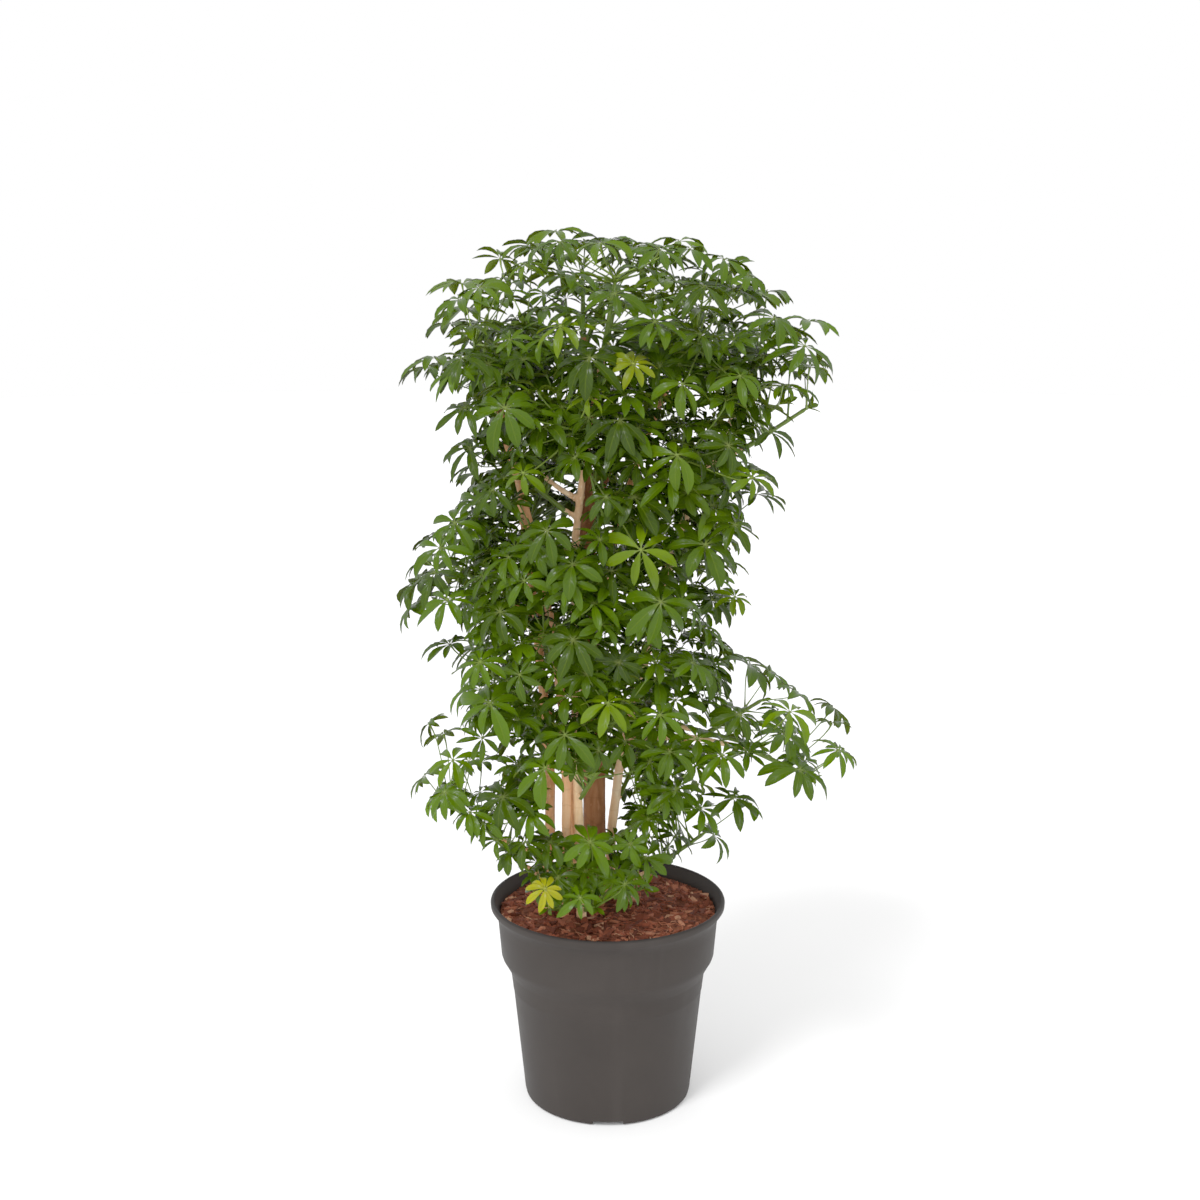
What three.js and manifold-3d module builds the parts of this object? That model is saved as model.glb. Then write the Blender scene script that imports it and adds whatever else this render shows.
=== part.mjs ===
// A branched umbrella plant in a round nursery pot, in millimetres, +Z up.
// The origin is the middle of the pot's foot, on the surface that the pot stands on. The front is at -Y.
//
// Six woody stems stand in the potting mix. Side branches leave the stems, and each branch, and the top of
// each stem, carries a green leafy shoot. The leaves stand round the shoot on long stalks, and each leaf is
// an umbrella of narrow leaflets that arch down from one hub. No leaf crosses another leaf or any wood.
import * as THREE from "three";
import { mergeVertices } from "three/addons/utils/BufferGeometryUtils.js";
import Module from "manifold-3d";

const wasm = await Module();
wasm.setup();

// ---- Driving dimensions ----
const GAP = 0.3; // between pieces that touch
const POT_HEIGHT = 298;
const POT_SIDES = 28;
const WALL = 2.8;
const FOOT_RADIUS = 121.5; // outer radius at the foot
const FLOOR_HEIGHT = 8; // the pot's floor is raised on a foot ring
const CENTRE_FOOT_RADIUS = 28;
const FOOT_RING_INNER_RADIUS = 106;
const DRAIN_SLOT_WIDTH = 43; // four slots through the foot ring
const DRAIN_SLOT_HEIGHT = 5.5;
const DRAIN_HOLE_RADIUS = 6;
const DRAIN_HOLE_CIRCLE = 72;
const DRAIN_HOLES = 4;
const SOIL_LEVEL = 278; // at the pot's wall
const SOIL_DOME = 5; // how much higher the mix is in the middle
const STEM_DEPTH = 50; // how far the stems reach down into the mix
const SHOOT_LENGTH = 92;
const SHOOT_RADIUS = 4.2;
const STALK_RADIUS = 1.7;
const GOLDEN_ANGLE = Math.PI * (3 - Math.sqrt(5));
const LEAFLETS = 6; // the real leaf has 7 to 9
const MOST_LEAVES = 216;
const HIGHEST_HUB = 1240;
const BLADE = 2.7; // from the top of a leaf's crown to its underside
const LEAST_CROSSING = 1e-9; // in cubic millimetres: pieces that only touch share less

// The outline of the foliage: height, furthest left, furthest right, and depth to the front and to the back.
const OUTLINE = [
  { z: 290, left: -126, right: 66, depth: 118 },
  { z: 345, left: -130, right: 96, depth: 124 },
  { z: 400, left: -186, right: 224, depth: 128 },
  { z: 447, left: -298, right: 330, depth: 138 },
  { z: 492, left: -298, right: 372, depth: 160 },
  { z: 550, left: -258, right: 348, depth: 190 },
  { z: 622, left: -244, right: 258, depth: 208 },
  { z: 690, left: -278, right: 176, depth: 216 },
  { z: 790, left: -294, right: 204, depth: 220 },
  { z: 870, left: -232, right: 256, depth: 222 },
  { z: 975, left: -232, right: 264, depth: 232 },
  { z: 1040, left: -262, right: 318, depth: 248 },
  { z: 1090, left: -288, right: 332, depth: 250 },
  { z: 1150, left: -248, right: 250, depth: 220 },
  { z: 1215, left: -156, right: 156, depth: 150 },
  { z: 1245, left: -60, right: 60, depth: 60 },
];

// Each stem: the points that it passes through, with its radius there. Below its first point it runs straight
// down into the mix.
const STEMS = [
  {
    name: "stem_front_left",
    path: [
      [-62, -40, 320, 7.4], [-58, -46, 455, 7], [-68, -50, 640, 6.3],
      [-104, -62, 850, 5.5], [-150, -76, 1010, 4.2],
    ],
  },
  {
    name: "stem_front_middle",
    path: [
      [-38, -42, 320, 7.6], [-42, -46, 455, 7], [-46, -50, 640, 6.4],
      [-42, -58, 870, 5.6], [-6, -92, 1090, 4.2],
    ],
  },
  {
    name: "stem_old_trunk",
    path: [
      [-20, 4, 320, 16.5], [-19, 4, 455, 15.5], [-24, 8, 640, 13],
      [-30, 14, 880, 10], [-34, 52, 1100, 4.6],
    ],
  },
  {
    name: "stem_left",
    path: [
      [-88, -2, 320, 8.4], [-82, 6, 455, 7.8], [-96, 18, 640, 7],
      [-120, 44, 850, 6], [-156, 84, 1020, 4.2],
    ],
  },
  {
    name: "stem_right",
    path: [
      [3, 34, 320, 7.8], [12, 26, 455, 7.2], [52, 18, 640, 6.6],
      [104, 0, 850, 5.8], [176, -26, 1010, 4.2],
    ],
  },
  {
    name: "stem_back",
    path: [
      [-50, 50, 320, 8], [-48, 60, 455, 7.6], [-26, 84, 640, 6.8],
      [22, 110, 860, 5.8], [88, 128, 1030, 4.2],
    ],
  },
];
const STEM_STEPS = 7;
const SOIL_HOLE_TOP = 320; // below this height each stem is upright

// The side shoots wind up the plant in a spiral, one golden angle apart, and a few more fill the dome.
const SIDE_SHOOTS = 28;
const SIDE_SHOOTS_LOW = 350;
const SIDE_SHOOTS_HIGH = 1040;
const DOME_SHOOTS = 5;
const FRONT_PULL = 0.38; // how much closer together, in radians, the side shoots stand at the front
const SHOOT_INSET = 86; // how far inside the foliage's outline a shoot ends
const BUD_LENGTH = 10;
const LONG_BRANCH = 190; // a branch that reaches further than this out from its stem arches over
const SHOOT_RINGS = [1, 0.62, 0.53, 0.32, 0.23, 0]; // their distances from the tip, as shares of its length

// Shoots that the spiral misses, such as the low ones over the mix: where each one's tip is.
const EXTRA_SHOOTS = [
  [-80, -86, 314],
  [-20, -90, 316],
  [44, -44, 326],
  [276, -60, 500],
  [214, -20, 596],
  [-232, -30, 452],
  [-212, -60, 800],
  [266, -30, 1006],
  [-62, -112, 1012],
];

// Bare places at the front, where the stems show between the leaves: x and height limits in the plane y = 0.
const BARE_PLACES = [
  { left: -96, right: 42, low: 398, high: 492 },
  { left: -84, right: -6, low: 838, high: 908 },
];
const EYE_DISTANCE = 2339; // the eye that looks at the front, from before the pot's middle and above its foot
const EYE_HEIGHT = 1202;

// ---- Small helpers ----
const vec = (x, y, z) => new THREE.Vector3(x, y, z);
const UP = vec(0, 0, 1);

// A repeatable random number between low and high.
let seed = 7;
function random(low = 0, high = 1) {
  seed = (seed * 1664525 + 1013904223) % 4294967296;
  return low + ((high - low) * seed) / 4294967296;
}

// A closed surface from faces that are three points each.
function geometryOfFaces(faces) {
  const flat = faces.flat().flatMap((p) => [p.x, p.y, p.z]);
  return new THREE.BufferGeometry().setAttribute("position", new THREE.Float32BufferAttribute(flat, 3));
}

function solidOf(geometry) {
  const bare = geometry.clone();
  bare.deleteAttribute("normal");
  bare.deleteAttribute("uv");
  const merged = mergeVertices(bare, 1e-3);
  return new wasm.Manifold(
    new wasm.Mesh({
      numProp: 3,
      vertProperties: merged.attributes.position.array,
      triVerts: new Uint32Array(merged.index.array),
    }),
  );
}

function geometryOfSolid(solid) {
  const mesh = solid.getMesh();
  return new THREE.BufferGeometry()
    .setAttribute("position", new THREE.BufferAttribute(mesh.vertProperties, 3))
    .setIndex(new THREE.BufferAttribute(mesh.triVerts, 1));
}

// Two directions at right angles to one another and to axis.
function across(axis) {
  const rough = Math.abs(axis.z) > 0.8 ? vec(1, 0, 0) : UP;
  const u = vec(0, 0, 0).crossVectors(rough, axis).normalize();
  return [u, vec(0, 0, 0).crossVectors(axis, u).normalize()];
}

// A ring of points round centre, at right angles to axis.
function ring(centre, axis, radius, sides, turn = 0) {
  const [u, v] = across(axis);
  return Array.from({ length: sides }, (_, i) => {
    const a = turn + (2 * Math.PI * i) / sides;
    return centre.clone().addScaledVector(u, radius * Math.cos(a)).addScaledVector(v, radius * Math.sin(a));
  });
}

// A tapered closed tube through stations of { at, axis, radius }, with flat ends.
function taperedTube(stations, sides) {
  const points = stations.flatMap((s) => ring(s.at, s.axis, s.radius, sides));
  const faces = [];
  for (let k = 0; k + 1 < stations.length; k++)
    for (let i = 0; i < sides; i++) {
      const a = k * sides + i;
      const b = k * sides + ((i + 1) % sides);
      faces.push([a, b, b + sides], [a, b + sides, a + sides]);
    }
  const last = (stations.length - 1) * sides;
  for (let i = 1; i + 1 < sides; i++) faces.push([0, i + 1, i], [last, last + i, last + i + 1]);
  const flat = points.flatMap((p) => [p.x, p.y, p.z]);
  return new THREE.BufferGeometry()
    .setAttribute("position", new THREE.Float32BufferAttribute(flat, 3))
    .setIndex(faces.flat());
}

// Between the rows of a table, by height.
function atHeight(rows, z, key) {
  if (z <= rows[0].z) return rows[0][key];
  for (let i = 1; i < rows.length; i++)
    if (z <= rows[i].z) {
      const t = (z - rows[i - 1].z) / (rows[i].z - rows[i - 1].z);
      return rows[i - 1][key] * (1 - t) + rows[i][key] * t;
    }
  return rows[rows.length - 1][key];
}

// How far the foliage reaches from its middle at that height, in the direction of an angle, and the middle.
function foliageAt(z, angle) {
  const left = atHeight(OUTLINE, z, "left");
  const right = atHeight(OUTLINE, z, "right");
  const half = (right - left) / 2;
  const depth = atHeight(OUTLINE, z, "depth");
  const reach = (half * depth) / Math.hypot(depth * Math.cos(angle), half * Math.sin(angle));
  return { middle: (left + right) / 2, reach };
}

// ---- Pot and potting mix ----
function potSolid() {
  const outside = [
    [CENTRE_FOOT_RADIUS, 0], [CENTRE_FOOT_RADIUS, FLOOR_HEIGHT], [FOOT_RING_INNER_RADIUS, FLOOR_HEIGHT],
    [FOOT_RING_INNER_RADIUS, 0], [FOOT_RADIUS - 7, 0], [FOOT_RADIUS, 8], [141.2, 187], [153.6, 212],
    [159.2, 273], [168.6, 286], [170, 293], [166.5, POT_HEIGHT],
  ];
  const inside = [[156.4, 272], [151, 213], [138.4, 187], [FOOT_RADIUS - 3.8, FLOOR_HEIGHT + WALL]];
  const profile = [[0, 0], ...outside, ...inside, [0, FLOOR_HEIGHT + WALL]];
  const lathe = new THREE.LatheGeometry(profile.map(([r, z]) => new THREE.Vector2(r, z)), POT_SIDES);
  let pot = solidOf(lathe.rotateX(Math.PI / 2));
  const slotLength = FOOT_RADIUS + 20 - FOOT_RING_INNER_RADIUS;
  for (let i = 0; i < 4; i++) {
    const slot = new THREE.BoxGeometry(DRAIN_SLOT_WIDTH, slotLength, 2 * DRAIN_SLOT_HEIGHT);
    slot.translate(0, -FOOT_RING_INNER_RADIUS + 10 - slotLength / 2, 0).rotateZ((i * Math.PI) / 2);
    pot = pot.subtract(solidOf(slot));
  }
  for (let i = 0; i < DRAIN_HOLES; i++) {
    const hole = new THREE.CylinderGeometry(DRAIN_HOLE_RADIUS, DRAIN_HOLE_RADIUS, 4 * WALL, 6);
    hole.rotateX(Math.PI / 2).translate(DRAIN_HOLE_CIRCLE, 0, FLOOR_HEIGHT);
    hole.rotateZ((i * 2 * Math.PI) / DRAIN_HOLES);
    pot = pot.subtract(solidOf(hole));
  }
  return pot;
}

// Low lumps in the mix's surface, in a sum of waves.
const lumps = (x, y) => 2.2 * Math.sin(x / 13 + 1) * Math.cos(y / 11) + 1.6 * Math.sin((x + y) / 7.5);

function soilSolid() {
  const clear = GAP + 0.3;
  const side = [
    [FOOT_RADIUS - 3.8 - clear, FLOOR_HEIGHT + WALL + GAP], [138.4 - clear, 187.1], [151 - clear, 213.1],
    [156.8 - clear, SOIL_LEVEL],
  ];
  const top = [[132, SOIL_LEVEL + 3], [88, SOIL_LEVEL + SOIL_DOME], [44, SOIL_LEVEL + SOIL_DOME]];
  const profile = [[0, FLOOR_HEIGHT + WALL + GAP], ...side, ...top, [0, SOIL_LEVEL + SOIL_DOME]];
  const lathe = new THREE.LatheGeometry(profile.map(([r, z]) => new THREE.Vector2(r, z)), POT_SIDES);
  lathe.rotateX(Math.PI / 2);
  const at = lathe.attributes.position;
  for (let i = 0; i < at.count; i++)
    if (at.getZ(i) > SOIL_LEVEL + 1) at.setZ(i, at.getZ(i) + lumps(at.getX(i), at.getY(i)));
  let soil = solidOf(lathe);
  for (const stem of STEMS) {
    const [x, y, , radius] = stem.path[0];
    const low = SOIL_LEVEL - STEM_DEPTH - GAP;
    const wide = radius + 1.3 * GAP;
    const hole = [low, SOIL_HOLE_TOP].map((z) => ({ at: vec(x, y, z), axis: UP, radius: wide }));
    soil = soil.subtract(solidOf(taperedTube(hole, sidesOf(radius))));
  }
  return soil;
}

// ---- Wood ----
const sidesOf = (radius) => (radius > 12 ? 8 : 6);
const placed = []; // every solid that is in place, with its box and the stem or shoot that it belongs to

function place(owner, solid, kind) {
  placed.push({ owner, solid, kind, box: solid.boundingBox() });
}

function boxesMeet(a, b) {
  return [0, 1, 2].every((i) => a.min[i] < b.max[i] && b.min[i] < a.max[i]);
}

// Whether a new solid crosses nothing that is in place, leaving out what ignore picks.
function isClear(solid, ignore = () => false) {
  const box = solid.boundingBox();
  for (const other of placed) {
    if (ignore(other) || !boxesMeet(box, other.box)) continue;
    const common = solid.intersect(other.solid);
    const crosses = common.volume() > LEAST_CROSSING;
    common.delete();
    if (crosses) return false;
  }
  return true;
}

function makeStem({ name, path }) {
  const [x, y, , radius] = path[0];
  const curve = new THREE.CatmullRomCurve3(path.map(([px, py, pz]) => vec(px, py, pz)));
  const radii = path.map((p) => p[3]);
  const radiusAt = (t) => {
    const k = Math.min(path.length - 2, Math.floor(t * (path.length - 1)));
    return THREE.MathUtils.lerp(radii[k], radii[k + 1], t * (path.length - 1) - k);
  };
  const stations = [{ at: vec(x, y, SOIL_LEVEL - STEM_DEPTH), axis: UP, radius }];
  for (let i = 0; i <= STEM_STEPS; i++) {
    const t = i / STEM_STEPS;
    const axis = i === 0 ? UP : curve.getTangent(t);
    stations.push({ at: curve.getPoint(t), axis, radius: radiusAt(t) });
  }
  const stem = { name, curve, radiusAt, end: stations[stations.length - 1] };
  stem.solid = solidOf(taperedTube(stations, sidesOf(radius)));
  place(stem, stem.solid, "stem");
  return stem;
}

// The point of a stem's curve nearest a height.
function stemAt(stem, z) {
  let low = 0;
  let high = 1;
  for (let i = 0; i < 24; i++) {
    const mid = (low + high) / 2;
    if (stem.curve.getPoint(mid).z < z) low = mid;
    else high = mid;
  }
  return { at: stem.curve.getPoint(low), radius: stem.radiusAt(low) };
}

// A branch from a stem to the base of a shoot, as a curve that leaves sideways and turns up.
function branchCurve(from, tip, lift) {
  const flat = vec(tip.x - from.x, tip.y - from.y, 0);
  const bend = from.clone().addScaledVector(flat, 0.55).add(vec(0, 0, lift));
  return new THREE.QuadraticBezierCurve3(from, bend, tip);
}

const shoots = [];

// A straight, three-sided green shoot from base to tip, with a bud at its end. Its wood ends a gap before it.
// It is kept as faces of three points. Leaves grow from its sites: the bud's faces, and faces between the two
// pairs of rings that stand close together.
function makeShoot(stem, base, tip, wood) {
  const axis = tip.clone().sub(base).normalize();
  const low = base.clone().addScaledVector(axis, GAP);
  const turn = random(0, 2);
  const rings = SHOOT_RINGS.map((share) => {
    const radius = SHOOT_RADIUS * THREE.MathUtils.lerp(0.8, 1, share);
    return ring(tip.clone().lerp(low, share), axis, radius, 3, turn);
  });
  const bud = tip.clone().addScaledVector(axis, BUD_LENGTH);
  const sites = [];
  const faces = [[rings[0][0], rings[0][2], rings[0][1]]];
  for (const i of [0, 1, 2]) sites.push([rings[5][i], rings[5][(i + 1) % 3], bud]);
  for (let k = rings.length - 2; k >= 0; k--)
    for (const i of [0, 1, 2]) {
      const [a, b] = [rings[k][i], rings[k][(i + 1) % 3]];
      const [c, d] = [rings[k + 1][(i + 1) % 3], rings[k + 1][i]];
      (k % 2 ? sites : faces).push([a, b, c]);
      faces.push([a, c, d]);
    }
  const solid = solidOf(geometryOfFaces([...faces, ...sites]));
  return { stem, axis, wood, solid, faces, sites, leaves: 0 };
}

function keepShoot(shoot) {
  if (shoot.wood) place(shoot.stem, shoot.wood, "branch");
  place(shoot, shoot.solid, "shoot");
  shoots.push(shoot);
}

// Grows a branch with its shoot from the stem and height that cross nothing and need the shortest branch.
function growBranch(stems, tip) {
  const tries = [];
  for (const stem of stems) {
    const level = stem.curve.getPoint(0.999).z;
    const first = stemAt(stem, Math.min(tip.z - 30, level - 10)).at;
    const away = Math.hypot(tip.x - first.x, tip.y - first.y);
    const arch = Math.max(0, away - LONG_BRANCH) * 0.5;
    for (const rise of away > LONG_BRANCH ? [-0.2, 0, 0.2, 0.4] : [0.45, 0.65, 0.9, 1.2]) {
      const height = Math.min(level - 12, Math.max(SOIL_LEVEL + 18, tip.z - 26 - rise * away));
      const { at, radius } = stemAt(stem, height);
      if (height < SOIL_HOLE_TOP) at.z = height;
      const reach = at.distanceTo(tip);
      if (reach < radius + 40) continue;
      const steep = rise > 0.65 ? 30 : 0;
      tries.push({ stem, at, radius, reach, cost: reach + steep, lift: 0.34 * (tip.z - at.z) + arch });
    }
  }
  tries.sort((a, b) => a.cost - b.cost);
  for (const { stem, at, radius, reach, lift } of tries) {
    const curve = branchCurve(at, tip, lift);
    const woody = 1 - Math.min(SHOOT_LENGTH, reach - radius - 12) / reach;
    const base = curve.getPoint(woody);
    const thick = Math.min(radius * 0.72, 6.4);
    const stations = [0, 0.5, 1].map((t) => ({
      at: curve.getPoint(t * woody),
      axis: curve.getTangent(t * woody),
      radius: THREE.MathUtils.lerp(thick, SHOOT_RADIUS + 0.4, t),
    }));
    stations[2].axis = tip.clone().sub(base).normalize();
    const wood = solidOf(taperedTube(stations, 4));
    const shoot = makeShoot(stem, base, tip, wood);
    if (isClear(wood, (o) => o.owner === stem && o.kind === "stem") && isClear(shoot.solid)) {
      keepShoot(shoot);
      return;
    }
  }
}

// The stem's own top becomes a shoot that carries straight on.
function growTopShoot(stem) {
  const { at, axis } = stem.end;
  keepShoot(makeShoot(stem, at, at.clone().addScaledVector(axis, SHOOT_LENGTH), null));
}

function shootTips() {
  const tips = EXTRA_SHOOTS.map(([x, y, z]) => vec(x, y, z));
  for (let k = 0; k < SIDE_SHOOTS; k++) {
    const z = THREE.MathUtils.lerp(SIDE_SHOOTS_LOW, SIDE_SHOOTS_HIGH, ((k + 0.5) / SIDE_SHOOTS) ** 0.78);
    const turn = k * GOLDEN_ANGLE + 0.6;
    const angle = turn - FRONT_PULL * Math.cos(turn);
    const { middle, reach } = foliageAt(z + 30, angle);
    const r = Math.max(42, reach - SHOOT_INSET);
    tips.push(vec(middle + r * Math.cos(angle), r * Math.sin(angle), z));
  }
  for (let k = 0; k < DOME_SHOOTS; k++) {
    const angle = k * GOLDEN_ANGLE + 2.2;
    const r = 150 * Math.sqrt((k + 0.35) / DOME_SHOOTS);
    tips.push(vec(r * Math.cos(angle) + 14, r * Math.sin(angle), 1165 - r * 0.42));
  }
  return tips;
}

// ---- Leaves ----
// One leaf, as faces of three points. Its stalk rises from a face of the shoot, and its leaflets stand round
// the hub in one thin arched blade. Each leaflet has a corner on each side and one at its tip. The tops of
// all leaflets meet in one point over the hub, and their undersides meet the stalk's three corners.
function makeLeaf({ site, hub, normal, size, droop, stalkSide }) {
  const [u, v] = across(normal);
  const at = (angle, radius, side, height) =>
    hub
      .clone()
      .addScaledVector(u, radius * Math.cos(angle) - side * Math.sin(angle))
      .addScaledVector(v, radius * Math.sin(angle) + side * Math.cos(angle))
      .addScaledVector(normal, height);
  const step = (2 * Math.PI) / LEAFLETS;
  // The stalk comes up between two leaflets, and it turns as little as it can on its way to its corners.
  const turns = [0.5, 1.5].flatMap((k) => {
    const spin = stalkSide + step * k;
    const corners = ring(at(0, 0, 0, -BLADE / 2), normal, STALK_RADIUS, 3, spin + step / 2);
    return [0, 1, 2].map((shift) => {
      const span = site.reduce((sum, p, j) => sum + p.distanceTo(corners[(j + shift) % 3]), 0);
      return { spin, corners, shift, span };
    });
  });
  const { spin, corners, shift } = turns.sort((a, b) => a.span - b.span)[0];
  const crown = at(0, 0, 0, BLADE / 2);
  const notches = [];
  const leaflets = [];
  for (let i = 0; i < LEAFLETS; i++) {
    const angle = spin + step * (i + random(-0.09, 0.09));
    const length = size * (0.88 - 0.12 * Math.cos(angle - stalkSide)) * random(0.94, 1.06);
    const fall = droop * random(0.75, 1.3);
    const drop = (s) => -length * (fall * s + 0.22 * s * s);
    const wide = length * 0.19;
    const twist = random(-0.16, 0.16) * wide;
    notches.push(at(spin + step * (i - 0.5), 3.6, 0, -0.2));
    leaflets.push([
      at(angle, length * 0.6, -wide, drop(0.6) - twist),
      at(angle, length * 0.97, 0, drop(1)),
      at(angle, length * 0.6, wide, drop(0.6) + twist),
    ]);
  }
  const blade = [];
  leaflets.forEach(([left, tip, right], i) => {
    const next = (i + 1) % LEAFLETS;
    const [near, far] = [notches[i], notches[next]];
    const [corner, after] = [i, next].map((n) => corners[Math.floor((3 * n) / LEAFLETS)]);
    blade.push([crown, near, left], [crown, left, right], [left, tip, right], [crown, right, far]);
    blade.push([corner, left, near], [corner, tip, left], [corner, right, tip], [corner, far, right]);
    if (after !== corner) blade.push([corner, after, far]);
  });
  const stalk = [0, 1, 2].flatMap((j) => {
    const [a, b] = [site[j], site[(j + 1) % 3]];
    const [c, d] = [corners[(j + 1 + shift) % 3], corners[(j + shift) % 3]];
    const bulges = new THREE.Plane().setFromCoplanarPoints(a, b, c).distanceToPoint(d) <= 0;
    return bulges ? [[a, b, c], [a, c, d]] : [[a, b, d], [b, c, d]];
  });
  const [p, q, r] = corners;
  return {
    faces: [...blade, ...stalk],
    bladeSolid: solidOf(geometryOfFaces([...blade, [p, r, q]])),
    stalkSolid: solidOf(geometryOfFaces([...stalk, [p, q, r], [site[2], site[1], site[0]]])),
  };
}

// Where the line from the eye through a point meets the plane y = 0.
function seenAt(point) {
  const t = EYE_DISTANCE / (EYE_DISTANCE + point.y);
  return { x: point.x * t, z: EYE_HEIGHT + (point.z - EYE_HEIGHT) * t };
}

// Whether a leaf at the front would cover a bare place.
function hidesStems(hub, size) {
  if (hub.y > 20) return false;
  const { x, z } = seenAt(hub);
  const rim = size * 0.62;
  const inWidth = (b) => x > b.left - rim && x < b.right + rim;
  const inHeight = (b) => z > b.low - rim && z < b.high + rim * 0.7;
  return BARE_PLACES.some((b) => inWidth(b) && inHeight(b));
}

const hubs = [];

// One way for a shoot to hold its next leaf, and how good it is: leaves keep apart and fill the outline.
function leafOffer(shoot) {
  const site = shoot.sites[Math.floor(random(0, Math.min(4, shoot.sites.length)))];
  const foot = site[0].clone().add(site[1]).add(site[2]).divideScalar(3);
  const side = new THREE.Triangle(...site).getNormal(vec(0, 0, 0));
  const way = side.clone().addScaledVector(shoot.axis, random(0, 1.2));
  way.add(vec(random(-1, 1), random(-1, 1), random(-0.5, 1)).multiplyScalar(0.8)).normalize();
  if (way.dot(side) < 0.45) return null;
  const length = random(38, 106);
  const hub = foot.clone().addScaledVector(way, length);
  const size = random(52, 69);
  const level = hub.z - 18;
  const centre = (atHeight(OUTLINE, level, "left") + atHeight(OUTLINE, level, "right")) / 2;
  const facing = Math.atan2(hub.y, hub.x - centre);
  const { reach } = foliageAt(level, facing);
  const out = Math.hypot(hub.x - centre, hub.y);
  const share = out / reach;
  const tilt = THREE.MathUtils.clamp(0.12 + 0.62 * share, 0, 0.85) + random(-0.25, 0.25);
  const normal = vec(Math.cos(facing) * Math.sin(tilt), Math.sin(facing) * Math.sin(tilt), Math.cos(tilt));
  normal.addScaledVector(vec(random(-1, 1), random(-1, 1), 0), 0.16).normalize();
  if (way.dot(normal) < 0.55) return null;
  const nearest = hubs.reduce((best, h) => Math.min(best, h.distanceTo(hub)), 150);
  const here = seenAt(hub);
  const apart = (h) => Math.hypot(seenAt(h).x - here.x, seenAt(h).z - here.z);
  const inView = hub.y > 0 ? 0 : hubs.reduce((best, h) => Math.min(best, h.y > 0 ? best : apart(h)), 80);
  const overhang = out + size * 0.78 * Math.cos(tilt) - reach;
  const tooLow = hub.z - size * 0.5 * Math.sin(tilt) < SOIL_LEVEL + 22;
  if (overhang > 14 || hub.z > HIGHEST_HUB || tooLow || hidesStems(hub, size)) return null;
  const score = nearest + 0.6 * inView + 34 * Math.min(share, 1.05) - 1.6 * Math.max(0, overhang);
  const [u, v] = across(normal);
  const stalkSide = Math.atan2(-way.dot(v), -way.dot(u));
  return { site, hub, normal, size, score, stalkSide, droop: random(0.08, 0.3) };
}

// Gives a shoot its next leaf: the best of the offers that crosses nothing.
function growLeaf(shoot) {
  if (!shoot.sites.length) return;
  const offers = [];
  for (let i = 0; i < 90; i++) {
    const offer = leafOffer(shoot);
    if (offer) offers.push(offer);
  }
  offers.sort((a, b) => b.score - a.score);
  for (const offer of offers.slice(0, 20)) {
    const { faces, bladeSolid, stalkSolid } = makeLeaf(offer);
    const folded = bladeSolid.intersect(stalkSolid).volume() > LEAST_CROSSING;
    if (!folded && isClear(bladeSolid) && isClear(stalkSolid)) {
      place(shoot, bladeSolid, "leaf");
      place(shoot, stalkSolid, "leaf");
      shoot.sites.splice(shoot.sites.indexOf(offer.site), 1);
      shoot.faces.push(...faces);
      shoot.leaves += 1;
      hubs.push(offer.hub);
      return;
    }
  }
}

// ---- The whole plant ----
const pot = potSolid();
const soil = soilSolid();
place(null, pot, "pot");
place(null, soil, "soil");
const stems = STEMS.map(makeStem);
stems.forEach(growTopShoot);
shootTips().forEach((tip) => growBranch(stems, tip));
for (let round = 0; round < 8; round++)
  for (const shoot of shoots) if (hubs.length < MOST_LEAVES) growLeaf(shoot);
const leafy = shoots.filter((shoot) => shoot.leaves > 0);

const finishes = {
  pot: new THREE.MeshStandardMaterial({ color: 0x4c4845, roughness: 0.62, metalness: 0 }),
  mix: new THREE.MeshStandardMaterial({ color: 0x5b3326, roughness: 0.95, metalness: 0 }),
  bark: new THREE.MeshStandardMaterial({ color: 0x9a7256, roughness: 0.85, metalness: 0 }),
  leaf: new THREE.MeshStandardMaterial({ color: 0x2f6a1c, roughness: 0.5, metalness: 0 }),
};

function addNode(group, name, solid, finish) {
  const mesh = new THREE.Mesh(geometryOfSolid(solid), finish);
  mesh.name = name;
  group.add(mesh);
}

const plant = new THREE.Group();
const potGroup = new THREE.Group();
const woodGroup = new THREE.Group();
const foliageGroup = new THREE.Group();
plant.add(potGroup, woodGroup, foliageGroup);

addNode(potGroup, "pot", pot, finishes.pot);
addNode(potGroup, "potting_mix", soil.simplify(0.05), finishes.mix);
for (const stem of stems) {
  const branches = leafy.filter((shoot) => shoot.stem === stem && shoot.wood).map((shoot) => shoot.wood);
  const wood = wasm.Manifold.union([stem.solid, ...branches]).simplify(0.05);
  addNode(woodGroup, stem.name, wood, finishes.bark);
}
leafy.forEach((shoot, i) => {
  const name = `leafy_shoot_${String(i + 1).padStart(2, "0")}`;
  addNode(foliageGroup, name, solidOf(geometryOfFaces([...shoot.faces, ...shoot.sites])), finishes.leaf);
});

export default plant;
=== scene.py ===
# %% [markdown]
# # A branched umbrella plant in a nursery pot
#
# This lesson dresses a plant over plain solids that already have the right size and place. The solids are
# a pot, the potting mix, six woody stems and 48 leafy shoots. Each cell makes one piece of the real plant:
# the moulded pot, the loose bark, the smooth stems, and then the foliage, leaf by leaf.
#
# The foliage decides how the plant looks, so most of the work goes there. The solids give each leaf as a
# thin umbrella with six corners. We read from them where every leaf sits, which way it faces and how far it
# droops, and we build a leaf of seven to nine real leaflets in the same place.

# %% The solids, and the box that holds them
import math
import random

import bmesh
import bpy
import numpy as np
from mathutils import Matrix, Vector
from mathutils.bvhtree import BVHTree


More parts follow.
